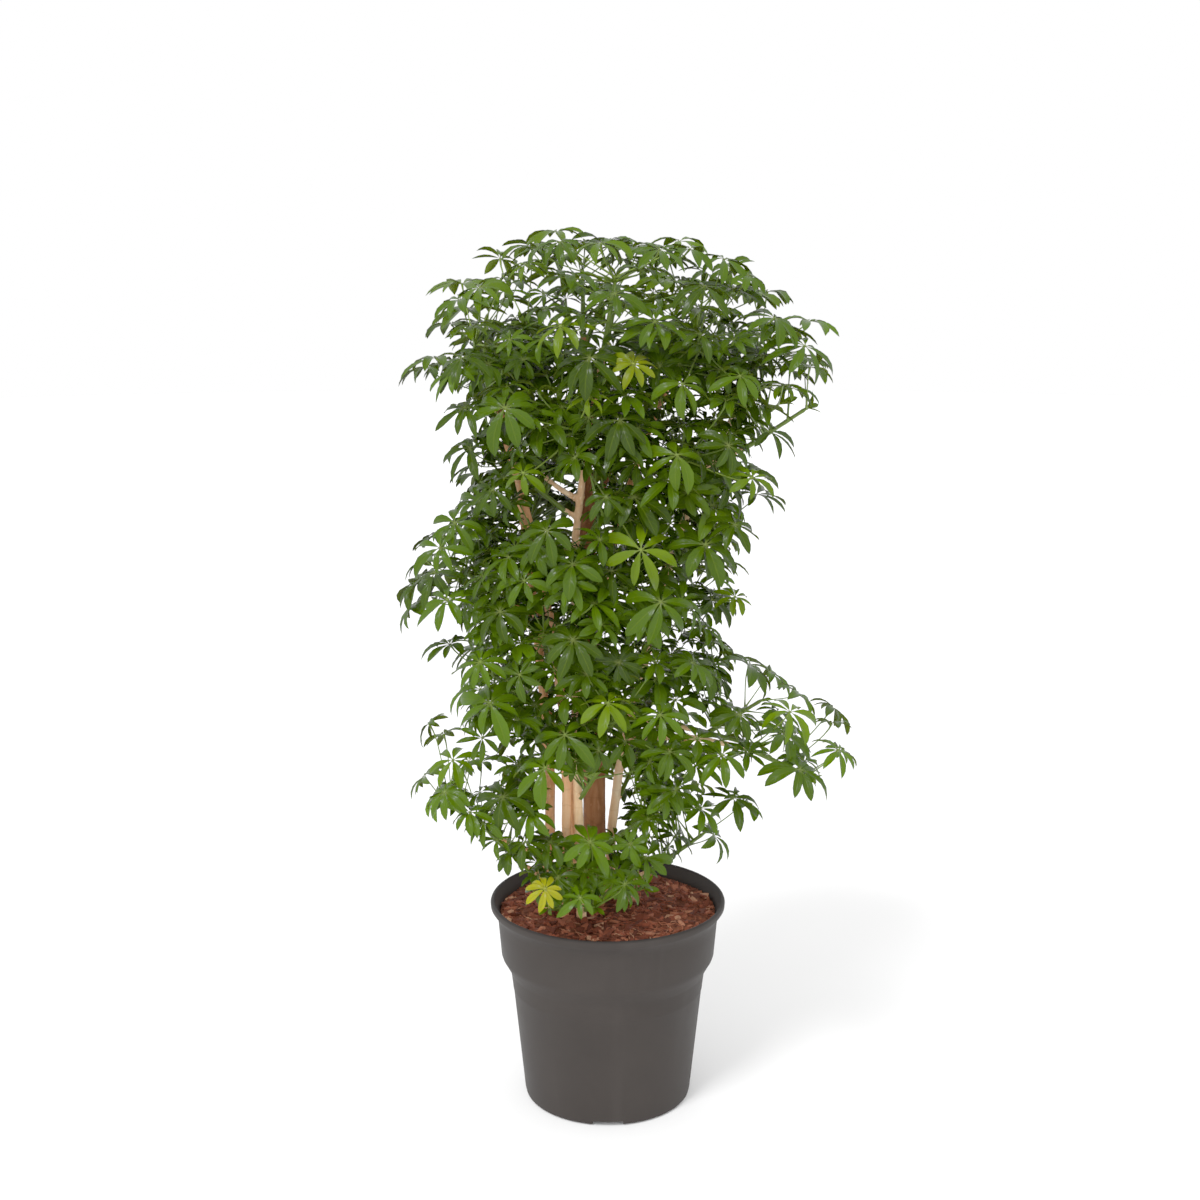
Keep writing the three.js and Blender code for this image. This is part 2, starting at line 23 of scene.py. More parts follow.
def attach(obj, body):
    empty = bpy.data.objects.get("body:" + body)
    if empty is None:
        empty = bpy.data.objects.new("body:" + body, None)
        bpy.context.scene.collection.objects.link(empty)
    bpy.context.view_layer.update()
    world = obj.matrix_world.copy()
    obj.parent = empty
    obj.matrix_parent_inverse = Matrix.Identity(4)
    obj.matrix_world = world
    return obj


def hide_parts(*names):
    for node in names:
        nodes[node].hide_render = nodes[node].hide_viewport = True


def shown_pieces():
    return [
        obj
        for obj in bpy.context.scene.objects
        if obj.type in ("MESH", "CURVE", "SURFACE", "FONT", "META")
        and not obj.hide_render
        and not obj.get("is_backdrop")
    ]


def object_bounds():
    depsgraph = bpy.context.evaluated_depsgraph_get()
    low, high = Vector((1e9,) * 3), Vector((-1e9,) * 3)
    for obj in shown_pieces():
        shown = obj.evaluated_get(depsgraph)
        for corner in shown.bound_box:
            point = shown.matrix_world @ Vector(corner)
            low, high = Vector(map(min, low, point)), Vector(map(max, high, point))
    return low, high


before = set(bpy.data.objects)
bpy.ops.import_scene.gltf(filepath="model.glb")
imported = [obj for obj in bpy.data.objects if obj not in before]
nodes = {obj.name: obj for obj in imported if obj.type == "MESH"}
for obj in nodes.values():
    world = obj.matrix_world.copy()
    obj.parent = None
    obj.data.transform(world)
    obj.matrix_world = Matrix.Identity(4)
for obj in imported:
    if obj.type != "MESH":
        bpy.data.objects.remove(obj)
solid_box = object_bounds()
chance = random.Random(11)
MM = 0.001
ROOT = "root"
print(len(nodes), "solids in a box from", solid_box[0], "to", solid_box[1])

# %% [markdown]
# ## The camera and the studio
#
# The plant was photographed a little from above, from more than two metres away, so the mouth of the pot
# shows as an ellipse. The camera repeats that. The light comes from a broad sun at the front left and from
# a white sky. A second sun stands low at the front. It is weak and very wide, and only opens the shadows
# between the leaves. Suns light the floor evenly, however far it reaches, so the pale floor and the sky
# join without a line.

# %% Camera
EYE = Vector((-0.0112, -2.339, 1.2021))
LOOKS_DOWN = math.radians(11.245)
camera = bpy.data.objects.new("camera", bpy.data.cameras.new("camera"))
bpy.context.scene.collection.objects.link(camera)
bpy.context.scene.camera = camera
camera.location = EYE
camera.rotation_euler = (math.radians(90) - LOOKS_DOWN, 0, 0)
camera.data.lens = 51
camera.data.sensor_width = 36
PICTURE = 1200  # the picture's width and height in pixels
FOCAL = camera.data.lens / camera.data.sensor_width * PICTURE


def eye_line(across, down):
    """The way from the eye through a place in the picture."""
    ahead = Vector((0, math.cos(LOOKS_DOWN), -math.sin(LOOKS_DOWN)))
    up = Vector((0, math.sin(LOOKS_DOWN), math.cos(LOOKS_DOWN)))
    way = ahead + Vector((across - PICTURE / 2, 0, 0)) / FOCAL - up * (down - PICTURE / 2) / FOCAL
    return way.normalized()


print("the camera stands", round(-EYE.y, 2), "m before the pot")

# %% Floor, sky and sun
SKY = 1.0
SUN = 1.55
SUN_WIDTH = math.radians(16)
SUN_TURN = (math.radians(38), 0, math.radians(-32))
FILL = 0.7
FILL_WIDTH = math.radians(70)
FILL_TURN = (math.radians(76), 0, math.radians(-12))
GAMMA = 1.38  # the photograph's shadows are open, so its curve lifts them
FLOOR_RADIUS = 14


def plain_material(name, colour, roughness):
    material = bpy.data.materials.new(name)
    material.use_nodes = True
    shader = material.node_tree.nodes["Principled BSDF"]
    shader.inputs["Base Color"].default_value = (*colour, 1)
    shader.inputs["Roughness"].default_value = roughness
    return material


bpy.ops.mesh.primitive_circle_add(vertices=96, radius=FLOOR_RADIUS, fill_type="NGON")
floor = bpy.context.object
floor.name = "studio_floor"
floor.data.materials.append(plain_material("studio_white", (0.92, 0.92, 0.92), 0.9))
floor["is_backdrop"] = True

world = bpy.data.worlds.new("white_studio")
bpy.context.scene.world = world
world.use_nodes = True
sky = world.node_tree.nodes["Background"]
sky.inputs["Strength"].default_value = SKY
sky.inputs["Color"].default_value = (1, 1, 1, 1)


def add_object(name, data):
    obj = bpy.data.objects.new(name, data)
    bpy.context.scene.collection.objects.link(obj)
    return obj


def add_sun(name, energy, width, turn):
    light = bpy.data.lights.new(name, "SUN")
    light.energy = energy
    light.angle = width
    add_object(name, light).rotation_euler = turn


add_sun("broad_sun", SUN, SUN_WIDTH, SUN_TURN)
add_sun("front_fill", FILL, FILL_WIDTH, FILL_TURN)
bpy.context.scene.view_settings.view_transform = "Standard"
bpy.context.scene.view_settings.gamma = GAMMA
print("a broad sun, a low fill and a white sky")

# %% [markdown]
# ## A few tools of the bench
#
# An operator acts on whatever is selected, so each piece starts with everything deselected. A finished
# piece keeps its place in its mesh, rides on the one body of the plant, and hides the solids that it
# stands for.

# %% Tools: select, apply, finish
def select_only(obj):
    bpy.ops.object.select_all(action="DESELECT")
    obj.select_set(True)
    bpy.context.view_layer.objects.active = obj


def apply_modifiers(obj):
    select_only(obj)
    for modifier in list(obj.modifiers):
        bpy.ops.object.modifier_apply(modifier=modifier.name)


def finish_piece(obj, name, slot, *stands_for):
    select_only(obj)
    bpy.ops.object.transform_apply(location=True, rotation=True, scale=True)
    obj.name = name
    obj.data.name = name
    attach(obj, ROOT)
    if stands_for:
        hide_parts(*stands_for)
    print(name, len(obj.data.polygons), "faces")


def smooth(obj, angle):
    select_only(obj)
    bpy.ops.object.shade_smooth_by_angle(angle=math.radians(angle))


def edit(obj, mode):
    select_only(obj)
    bpy.ops.object.mode_set(mode="EDIT")
    bpy.ops.mesh.select_mode(type=mode)
    bpy.ops.mesh.select_all(action="DESELECT")


def object_mode():
    bpy.ops.object.mode_set(mode="OBJECT")


def push_by_noise(obj, name, size, strength, depth=2, direction="NORMAL"):
    """A modifier that pushes the surface in and out by a cloudy texture."""
    texture = bpy.data.textures.new(name, "CLOUDS")
    texture.noise_scale = size
    texture.noise_depth = depth
    push = obj.modifiers.new(name, "DISPLACE")
    push.texture = texture
    push.texture_coords = "LOCAL"
    push.direction = direction
    push.strength = strength


def top_of(obj, x, y):
    """How high an object reaches at a place, from straight above, or None beside it."""
    hit, point, _, _ = obj.ray_cast(Vector((x, y, 1)), Vector((0, 0, -1)))
    return point.z if hit else None


# %% [markdown]
# ## Painting with nodes
#
# Every finish is a small tree of nodes. Most of them need the same few steps: a noise at some scale, a ramp
# that turns it into colours, a bump. These helpers keep each material short enough to read.

# %% Tools: nodes
class Paint:
    """A new material, with short ways to add and join its nodes."""

    def __init__(self, name):
        self.material = bpy.data.materials.new(name)
        self.material.use_nodes = True
        self.tree = self.material.node_tree
        self.shader = self.tree.nodes["Principled BSDF"]

    def node(self, kind, settings=None, **inputs):
        made = self.tree.nodes.new(kind)
        for key, value in (settings or {}).items():
            setattr(made, key, value)
        for key, value in inputs.items():
            self.feed(made.inputs[key.replace("_", " ")], value)
        return made

    def feed(self, socket, value):
        if isinstance(value, bpy.types.NodeSocket):
            self.tree.links.new(value, socket)
        else:
            socket.default_value = value

    def place(self):
        return self.node("ShaderNodeTexCoord").outputs["Object"]

    def stretched(self, scale):
        return self.node("ShaderNodeMapping", Vector=self.place(), Scale=scale).outputs["Vector"]

    def noise(self, scale, detail, roughness=0.55, where=None):
        look = {"Scale": scale, "Detail": detail, "Roughness": roughness}
        return self.node("ShaderNodeTexNoise", Vector=where or self.place(), **look).outputs["Fac"]

    def attribute(self, name):
        return self.node("ShaderNodeAttribute", {"attribute_name": name}).outputs["Fac"]

    def math(self, operation, a, b=0.0):
        made = self.node("ShaderNodeMath", {"operation": operation})
        for socket, value in zip(made.inputs, (a, b)):
            self.feed(socket, value)
        return made.outputs[0]

    def ramp(self, value, *stops):
        made = self.node("ShaderNodeValToRGB", Fac=value)
        band = made.color_ramp
        while len(band.elements) < len(stops):
            band.elements.new(0.5)
        for element, (at, colour) in zip(band.elements, stops):
            element.position = at
            element.color = (*colour, 1)
        return made.outputs["Color"]

    def mix(self, share, a, b, blend="MIX"):
        made = self.node("ShaderNodeMix", {"data_type": "RGBA", "blend_type": blend})
        self.feed(made.inputs[0], share)
        for socket, value in zip(made.inputs[6:8], (a, b)):
            self.feed(socket, (*value, 1) if isinstance(value, tuple) else value)
        return made.outputs[2]

    def spread(self, value, low, high, new_low=0.0, new_high=1.0):
        made = self.node("ShaderNodeMapRange")
        for socket, number in zip(made.inputs, (value, low, high, new_low, new_high)):
            self.feed(socket, number)
        return made.outputs[0]

    def bump(self, height, strength, distance, under=None):
        made = self.node("ShaderNodeBump", Height=height, Strength=strength, Distance=distance)
        if under:
            self.feed(made.inputs["Normal"], under)
        return made.outputs["Normal"]

    def wear(self, **sockets):
        for key, value in sockets.items():
            self.feed(self.shader.inputs[key.replace("_", " ")], value)
        return self.material


# %% [markdown]
# ## The pot
#
# A nursery pot is one thin moulding. Its wall runs up almost straight from a foot ring, steps out at a
# shoulder so that empty pots stack, and ends in a soft rolled rim. It could be turned with a screw
# modifier. Here it is drawn as one would on a lathe: a circle is pulled from ring to ring along the
# profile, outside and then inside, and merged in the middle of the floor. A face closes the first ring,
# underneath. A bevel then softens each corner.

# %% The pot's profile
# Radius and height in millimetres, from the middle of the foot, over the rim, to the middle of the floor.
POT_PROFILE = [
    (28, 0), (28, 8), (106, 8), (106, 0), (113.5, 0), (120.2, 2.2), (121.8, 9),
    (137.6, 163), (138.3, 164.2), (138.6, 168), (141.2, 189), (142.4, 193), (150.2, 207.5), (153.2, 212.5),
    (154.8, 217.5), (158.6, 262), (159.6, 272), (162.2, 279.5), (167.4, 285.5), (169.6, 289), (170, 294),
    (168.8, 297.3), (166.6, 298), (164.6, 296.9), (163.6, 294),
    (159.6, 287), (156.9, 279), (156.3, 271), (151.6, 216), (150.4, 211.5), (140.2, 190.5), (138.4, 185),
    (119, 14), (116, 10.8),
]
POT_SIDES = 144
POT_HEIGHT = 298 * MM
# Painted shade: between these heights the top of the rim's roll is painted darker.
RIM_PAINTED_SHADE = (POT_HEIGHT - 3.5 * MM, POT_HEIGHT - 1.5 * MM)  # between these heights the roll gets darker
SLOT = (43, 34, 14)  # each drain slot in the foot ring: along the ring, through it and up
SLOT_CENTRE = 113
DRAIN_HOLE = {"vertices": 24, "radius": 6 * MM, "depth": 12 * MM}
DRAIN_HOLE_CIRCLE = 72
DRAIN_HOLE_LEVEL = Vector((0, 0, 9 * MM))


def turn_pot():
    radius, height = POT_PROFILE[0]
    place = (0, 0, height * MM)
    bpy.ops.mesh.primitive_circle_add(vertices=POT_SIDES, radius=radius * MM, location=place)
    pot = bpy.context.object
    bpy.ops.object.transform_apply(location=True)
    edit(pot, "EDGE")
    bpy.ops.mesh.select_all(action="SELECT")
    for (r0, z0), (r1, z1) in zip(POT_PROFILE, POT_PROFILE[1:]):
        bpy.ops.mesh.extrude_edges_move(TRANSFORM_OT_translate={"value": (0, 0, (z1 - z0) * MM)})
        middle = (0, 0, z1 * MM)
        bpy.ops.transform.resize(value=(r1 / r0, r1 / r0, 1), center_override=middle)
    bpy.ops.mesh.extrude_edges_move()
    bpy.ops.mesh.merge(type="CENTER")
    object_mode()
    mesh = bmesh.new()
    mesh.from_mesh(pot.data)
    first_ring = [e for e in mesh.edges if e.is_boundary]
    bmesh.ops.contextual_create(mesh, geom=first_ring)
    bmesh.ops.recalc_face_normals(mesh, faces=mesh.faces)
    mesh.to_mesh(pot.data)
    mesh.free()
    return pot


def cut_drains(pot):
    cutters = []
    for quarter in range(4):
        turn = quarter * math.pi / 2
        along = Vector((math.sin(turn), -math.cos(turn), 0))
        bpy.ops.mesh.primitive_cube_add(size=1, location=along * SLOT_CENTRE * MM, rotation=(0, 0, turn))
        slot = bpy.context.object
        slot.scale = Vector(SLOT) * MM
        cutters.append(slot)
        across = Vector((along.y, -along.x, 0)) * DRAIN_HOLE_CIRCLE * MM
        bpy.ops.mesh.primitive_cylinder_add(location=across + DRAIN_HOLE_LEVEL, **DRAIN_HOLE)
        cutters.append(bpy.context.object)
    for cutter in cutters:
        made = pot.modifiers.new("drain", "BOOLEAN")
        made.object = cutter
        made.solver = "EXACT"
    apply_modifiers(pot)
    for cutter in cutters:
        bpy.data.objects.remove(cutter)


pot = turn_pot()
soft = pot.modifiers.new("soft_corners", "BEVEL")
soft.width = 0.9 * MM
soft.segments = 2
soft.limit_method = "ANGLE"
soft.angle_limit = math.radians(28)
apply_modifiers(pot)
cut_drains(pot)
smooth(pot, 38)
print("pot turned and drained:", len(pot.data.vertices), "points")

# %% [markdown]
# The plastic is a dark warm grey with a fine moulded grain, and it is more dull than shiny. A few pale
# streaks of dried water run down the wall, and the top of the rim's roll is darkened by painted shade.

# %% The pot's plastic
def pot_plastic():
    paint = Paint("pot_plastic")
    mottle = paint.noise(9, 4)
    streaks = paint.noise(16, 3, where=paint.stretched((1, 1, 0.09)))
    base = paint.ramp(mottle, (0.3, (0.0202, 0.0165, 0.0147)), (0.7, (0.0265, 0.022, 0.0196)))
    streaks_and_rim_shade = paint.mix(paint.spread(streaks, 0.55, 0.8, 0, 0.25), base, (0.05, 0.044, 0.041))
    height = paint.node("ShaderNodeSeparateXYZ", Vector=paint.place()).outputs["Z"]
    # Painted shade on the top of the rim's roll, laid over the water streaks.
    rim_shade_share = paint.spread(height, *RIM_PAINTED_SHADE, 0, 0.6)
    streaks_and_rim_shade = paint.mix(rim_shade_share, streaks_and_rim_shade, (0.008, 0.0065, 0.006))
    grain = paint.bump(paint.noise(900, 2), 0.25, 0.0002)
    return paint.wear(
        Base_Color=streaks_and_rim_shade,
        Roughness=paint.spread(mottle, 0.3, 0.7, 0.52, 0.64),
        Specular_IOR_Level=0.07,
        Normal=paint.bump(paint.noise(30, 3), 0.08, 0.002, grain),
    )


pot.data.materials.append(pot_plastic())
finish_piece(pot, "nursery_pot", "pot", "pot")

# %% [markdown]
# ## The potting mix
#
# The solid mix stays as it is in the depth of the pot. What shows is its top: crumbs, bark chips and coir.
# A disc of small squares is cut to the pot's mouth and laid over the solid's surface, and two textures push
# it into crumbs. Its rim is pulled down so that it closes against the wall.

# %% The crumbly surface
MIX_RADIUS = 156.2 * MM
CRUMB_CELLS = 132
MIX_SKIRT = 9 * MM  # how far its edge is pulled down
NEAR_WALL = 0.985  # the solid is probed no further out than this share of the radius
CRUMBS_ABOVE = 0.8 * MM  # how far the crumbs lie over the solid

mix = nodes["potting_mix"]
bpy.context.view_layer.update()
MIX_LEVEL = top_of(mix, 0.1, 0.08)
print("the mix stands", round(MIX_LEVEL / MM), "mm high")


def lay_crumbs():
    cells = {"x_subdivisions": CRUMB_CELLS, "y_subdivisions": CRUMB_CELLS, "size": 2.04 * MIX_RADIUS}
    bpy.ops.mesh.primitive_grid_add(location=(0, 0, MIX_LEVEL), **cells)
    crumbs = bpy.context.object
    bpy.ops.object.transform_apply(location=True)
    edit(crumbs, "VERT")
    object_mode()
    for v in crumbs.data.vertices:
        v.select = math.hypot(v.co.x, v.co.y) > MIX_RADIUS
    bpy.ops.object.mode_set(mode="EDIT")
    bpy.ops.mesh.delete(type="VERT")
    object_mode()
    for v in crumbs.data.vertices:
        out = math.hypot(v.co.x, v.co.y)
        inside = min(1, NEAR_WALL * MIX_RADIUS / out) if out > 0 else 1
        v.co.z = (top_of(mix, v.co.x * inside, v.co.y * inside) or MIX_LEVEL) + CRUMBS_ABOVE
    push_by_noise(crumbs, "coarse_crumbs", 0.011, 6.0 * MM, 3, "Z")
    push_by_noise(crumbs, "fine_crumbs", 0.0032, 3.4 * MM, 3, "Z")
    apply_modifiers(crumbs)
    edit(crumbs, "EDGE")
    bpy.ops.mesh.select_non_manifold(extend=False)
    bpy.ops.mesh.extrude_edges_move(TRANSFORM_OT_translate={"value": (0, 0, -MIX_SKIRT)})
    bpy.ops.mesh.edge_face_add()
    bpy.ops.mesh.select_all(action="SELECT")
    bpy.ops.mesh.normals_make_consistent(inside=False)
    object_mode()
    return crumbs


crumbs = lay_crumbs()
smooth(crumbs, 60)

# %% [markdown]
# Bark chips and coir lie loose on top. One chip is a small block whose corners are knocked about; three of
# them, turned and stretched, are enough for a heap, because no two lie alike. Coir fibres are thin curved
# strands. Each chip carries a number that its material reads as a colour, from wet brown to dry tan. Chips
# that would reach into the wall are moved in until they lie clear of it.

# %% Chips and coir
CHIPS = 1200
CHIP_LENGTHS = (4.5, 6, 8, 11, 15)
THICKEST_CHIP = 3 * MM
CHIP_TILT = 0.32
FIBRES = 240
FIBRE_STEPS = 6
FIBRE_RADII = [0.6 * MM] * FIBRE_STEPS + [0.25 * MM]
ANY_WAY = (0, 6.28)  # in radians
# Where the stems stand in the mix, and their radii, in mm.
STEM_FEET = [(-62, -40, 9), (-38, -42, 9), (-20, 4, 18), (-88, -2, 10), (3, 34, 10), (-50, 50, 10)]
STEM_MARGIN = 2


def rough_block(name):
    bpy.ops.mesh.primitive_cube_add(size=1)
    block = bpy.context.object
    edit(block, "FACE")
    bpy.ops.mesh.select_all(action="SELECT")
    bpy.ops.mesh.subdivide(number_cuts=1)
    object_mode()
    for v in block.data.vertices:
        v.co += Vector([chance.uniform(-0.17, 0.17) for _ in range(3)])
        v.co *= 0.92 if v.co.length > 0.8 else 1
    block.name = name
    return block


def table_of(rows, key, width, kind=np.float32):
    """What each point, corner or face of a mesh says under key, as the rows of an array."""
    flat = np.empty(len(rows) * width, kind)
    rows.foreach_get(key, flat)
    return flat.reshape(-1, width)


def points_of(obj):
    return table_of(obj.data.vertices, "co", 3).astype(float)


def corners_of(mesh):
    return table_of(mesh.loops, "vertex_index", 1, np.int32).ravel()


def faces_of(obj):
    return [tuple(p.vertices) for p in obj.data.polygons]


class Heap:
    """Many small copies that become one mesh, with numbers that the material reads at each point."""

    def __init__(self):
        self.points, self.faces, self.slots, self.maps = [], [], [], []
        self.numbers = {}
        self.count = 0

    def add(self, points, faces, slots=0, uv=None, **numbers):
        self.points.append(points)
        self.faces.extend(tuple(i + self.count for i in face) for face in faces)
        self.slots.extend([slots] * len(faces) if isinstance(slots, int) else slots)
        self.maps.append(np.zeros((len(points), 2)) if uv is None else uv)
        for key, value in numbers.items():
            self.numbers.setdefault(key, []).append(np.broadcast_to(value, len(points)))
        self.count += len(points)

    def piece(self, materials):
        mesh = bpy.data.meshes.new("heap")
        mesh.from_pydata(np.concatenate(self.points).tolist(), [], self.faces)
        mesh.polygons.foreach_set("material_index", self.slots)
        layer = mesh.uv_layers.new(name="leaf_map")
        at_corners = np.concatenate(self.maps)[corners_of(mesh)]
        layer.data.foreach_set("uv", at_corners.astype(np.float32).ravel())
        for key, parts in self.numbers.items():
            made = mesh.attributes.new(key, "FLOAT", "POINT")
            made.data.foreach_set("value", np.concatenate(parts).astype(np.float32))
        for material in materials:
            mesh.materials.append(material)
        return add_object("heap", mesh)


def stem_near(x, y):
    return any(math.hypot(x - a * MM, y - b * MM) < (r + STEM_MARGIN) * MM for a, b, r in STEM_FEET)


bpy.context.view_layer.update()
blocks = [rough_block(f"block_{k}") for k in range(3)]
block_points = [points_of(b) for b in blocks]
block_faces = faces_of(blocks[0])
for block in blocks:
    bpy.data.objects.remove(block)


def crumb_top(x, y):
    return top_of(crumbs, x, y) or MIX_LEVEL


def scatter_chips():
    heap = Heap()
    while heap.count < CHIPS * len(block_points[0]):
        out = (MIX_RADIUS - 4 * MM) * math.sqrt(chance.random())
        turn = chance.uniform(0, 2 * math.pi)
        x, y = out * math.cos(turn), out * math.sin(turn)
        if stem_near(x, y):
            continue
        long = chance.choice(CHIP_LENGTHS) * chance.uniform(0.8, 1.25) * MM
        off_the_wall = min(1, (MIX_RADIUS - 0.6 * long) / out)
        x, y = x * off_the_wall, y * off_the_wall
        broad = long * chance.uniform(0.25, 0.65)
        size = Vector((long, broad, min(long * chance.uniform(0.18, 0.4), THICKEST_CHIP)))
        tilt = Matrix.Rotation(chance.gauss(0, CHIP_TILT), 3, "X")
        tilt = tilt @ Matrix.Rotation(chance.gauss(0, CHIP_TILT), 3, "Y")
        spin = Matrix.Rotation(chance.uniform(*ANY_WAY), 3, "Z")
        shape = np.array(spin @ tilt) @ np.diag(size)
        place = np.array((x, y, crumb_top(x, y) + size.z * 0.25))
        points = chance.choice(block_points) @ shape.T + place
        heap.add(points, block_faces, tint=chance.random())
    return heap


def tube_along(path, radii, sides=3):
    """Points and faces of a closed tube through the points of path."""
    path = np.asarray(path, float)
    along = np.gradient(path, axis=0)
    along /= np.linalg.norm(along, axis=1)[:, None]
    aside = (0.31, 0.17, 0.93) if abs(along[0][2]) < 0.9 else (1.0, 0.1, 0.0)
    u = np.cross(along, np.array(aside))
    u /= np.linalg.norm(u, axis=1)[:, None]
    v = np.cross(along, u)
    turns = np.arange(sides) * 2 * math.pi / sides
    ring = np.cos(turns)[None, :, None] * u[:, None] + np.sin(turns)[None, :, None] * v[:, None]
    points = (path[:, None] + ring * np.asarray(radii, float)[:, None, None]).reshape(-1, 3)
    faces = []
    for k in range(len(path) - 1):
        for i in range(sides):
            a, b = k * sides + i, k * sides + (i + 1) % sides
            faces.append((a, b, b + sides, a + sides))
    last = (len(path) - 1) * sides
    faces.append(tuple(range(sides))[::-1])
    faces.append(tuple(range(last, last + sides)))
    return points, faces


def scatter_coir(heap):
    for _ in range(FIBRES):
        out = (MIX_RADIUS - 16 * MM) * math.sqrt(chance.random())
        turn, way = chance.uniform(*ANY_WAY), chance.uniform(*ANY_WAY)
        x, y = out * math.cos(turn), out * math.sin(turn)
        length, bend = chance.uniform(14, 36) * MM, chance.uniform(-2.6, 2.6)
        path = []
        while len(path) <= FIBRE_STEPS:
            path.append((x, y, crumb_top(x, y) + chance.uniform(0.6, 2.2) * MM))
            way += bend / FIBRE_STEPS
            x += math.cos(way) * length / FIBRE_STEPS
            y += math.sin(way) * length / FIBRE_STEPS
        if any(math.hypot(px, py) > MIX_RADIUS - 3 * MM or stem_near(px, py) for px, py, _ in path):
            continue
        points, faces = tube_along(path, FIBRE_RADII)
        heap.add(points, faces, tint=chance.uniform(0.72, 1.0))
    return heap


def bark_chip_finish():
    paint = Paint("bark_chips")
    tint = paint.attribute("tint")
    grain = paint.noise(420, 4)
    colour = paint.ramp(
        tint,
        (0.0, (0.055, 0.01, 0.004)),
        (0.35, (0.115, 0.021, 0.008)),
        (0.75, (0.21, 0.042, 0.018)),
        (0.93, (0.34, 0.095, 0.044)),
        (1.0, (0.55, 0.27, 0.145)),
    )
    worn = paint.mix(paint.spread(grain, 0.35, 0.75, 0, 0.55), colour, (0.05, 0.02, 0.013))
    ridges = paint.bump(grain, 0.6, 0.0008)
    return paint.wear(Base_Color=worn, Roughness=0.86, Specular_IOR_Level=0.12, Normal=ridges)


def crumb_finish():
    paint = Paint("potting_crumbs")
    lump = paint.noise(150, 5, 0.65)
    colour = paint.ramp(
        lump,
        (0.3, (0.022, 0.005, 0.002)),
        (0.5, (0.08, 0.019, 0.008)),
        (0.72, (0.18, 0.05, 0.022)),
    )
    ridges = paint.bump(lump, 0.8, 0.002)
    return paint.wear(Base_Color=colour, Roughness=0.93, Specular_IOR_Level=0.1, Normal=ridges)


crumb_material = crumb_finish()
crumbs.data.materials.append(crumb_material)
mix.data.materials.clear()
mix.data.materials.append(crumb_material)
finish_piece(crumbs, "mix_surface", "potting_mix")
chips = scatter_coir(scatter_chips()).piece([bark_chip_finish()])
finish_piece(chips, "bark_chips_and_coir", "potting_mix")

# %% [markdown]
# ## The woody stems
#
# Umbrella plants stay smooth-barked for years. The stems are tan, ringed by the scars of fallen leaves,
# and the oldest trunk is browner and rougher. The solids have six or eight flat sides. A copy of each is
# wrapped in a fine even net, smoothed until its edges are gone and its forks have soft collars, and then
# pushed in and out a little by two textures, as growth does.

# %% Smooth stems from the solids
WOOD_NET = 1.7 * MM
THICK = (17 * MM, 27 * MM)  # between these thicknesses the extra rounding sets in
KNOTS = (0.03, 1.4 * MM)  # their size and how far they push
RIPPLES = (0.006, 0.5 * MM)
TRUNK = "stem_old_trunk"
# Two more short branches that show in the crown: in the picture, where each leaves its stem and where it
# ends, and its radius in mm.
SHORT_BRANCHES = {
    "stem_front_middle": ((580, 500), (540, 473), 4.0),
    TRUNK: ((589, 524), (611, 466), 4.6),
}
BRANCH_TAPER = (1.25, 1.0, 0.95, 0.9, 0.85)
BRANCH_SAG = Vector((0, 0, -3 * MM))
BRANCH_GOES_BACK = 12 * MM  # how much further from the eye it ends than it starts


def with_short_branch(mesh, node, start, end, radius):
    """The mesh of a stem with one short branch more, from one place in the picture to another."""
    way = eye_line(*start)
    found, point, _, _ = node.ray_cast(EYE, way)
    if not found:
        raise RuntimeError("no wood where the short branch starts on " + node.name)
    foot = point + way * radius * 1.2 * MM
    tip = EYE + eye_line(*end) * ((foot - EYE).length + BRANCH_GOES_BACK)
    shares = [k / (len(BRANCH_TAPER) - 1) for k in range(len(BRANCH_TAPER))]
    path = [foot.lerp(tip, t) + BRANCH_SAG * math.sin(math.pi * t) for t in shares]
    points, faces = tube_along(path, [radius * share * MM for share in BRANCH_TAPER], 8)
    first = len(mesh.vertices)
    old = [v.co.to_tuple() for v in mesh.vertices]
    old_faces = [tuple(p.vertices) for p in mesh.polygons]
    grown = bpy.data.meshes.new("wood")
    grown.from_pydata(old + points.tolist(), [], old_faces + [tuple(i + first for i in f) for f in faces])
    return grown


def net_over(node):
    mesh = node.data.copy()
    if node.name in SHORT_BRANCHES:
        mesh = with_short_branch(mesh, node, *SHORT_BRANCHES[node.name])
    wood = add_object("wood", mesh)
    wood.data.materials.clear()
    weld = wood.modifiers.new("weld", "WELD")
    weld.merge_threshold = 0.01 * MM
    net = wood.modifiers.new("net", "REMESH")
    net.mode = "VOXEL"
    net.voxel_size = WOOD_NET
    apply_modifiers(wood)
    return wood


def mark_thick(wood):
    """A vertex group with the weight 1 where the wood is thick, and 0 on twigs."""
    group = wood.vertex_groups.new(name="thick")
    mesh = bmesh.new()
    mesh.from_mesh(wood.data)
    tree = BVHTree.FromBMesh(mesh)
    for v in mesh.verts:
        _, _, _, depth = tree.ray_cast(v.co - v.normal * 0.1 * MM, -v.normal)
        weight = ((depth or 0) - THICK[0]) / (THICK[1] - THICK[0])
        group.add([v.index], min(1, max(0, weight)), "REPLACE")
    mesh.free()


def relax(wood, name, iterations, gain, group=""):
    """Smooth the wood, and swell it again by what that takes off."""
    rounder = wood.modifiers.new(name, "SMOOTH")
    rounder.factor = 0.5
    rounder.iterations = iterations
    rounder.vertex_group = group
    swell = wood.modifiers.new(name + "_gain", "DISPLACE")
    swell.strength = gain
    swell.mid_level = 0
    swell.vertex_group = group


def grow_bark(node):
    wood = net_over(node)
    mark_thick(wood)
    relax(wood, "round", 14, 0.45 * MM)
    relax(wood, "round_thick", 60, 1.2 * MM, "thick")
    push_by_noise(wood, "knots", *KNOTS)
    push_by_noise(wood, "ripples", *RIPPLES)
    apply_modifiers(wood)
    smooth(wood, 80)
    return wood


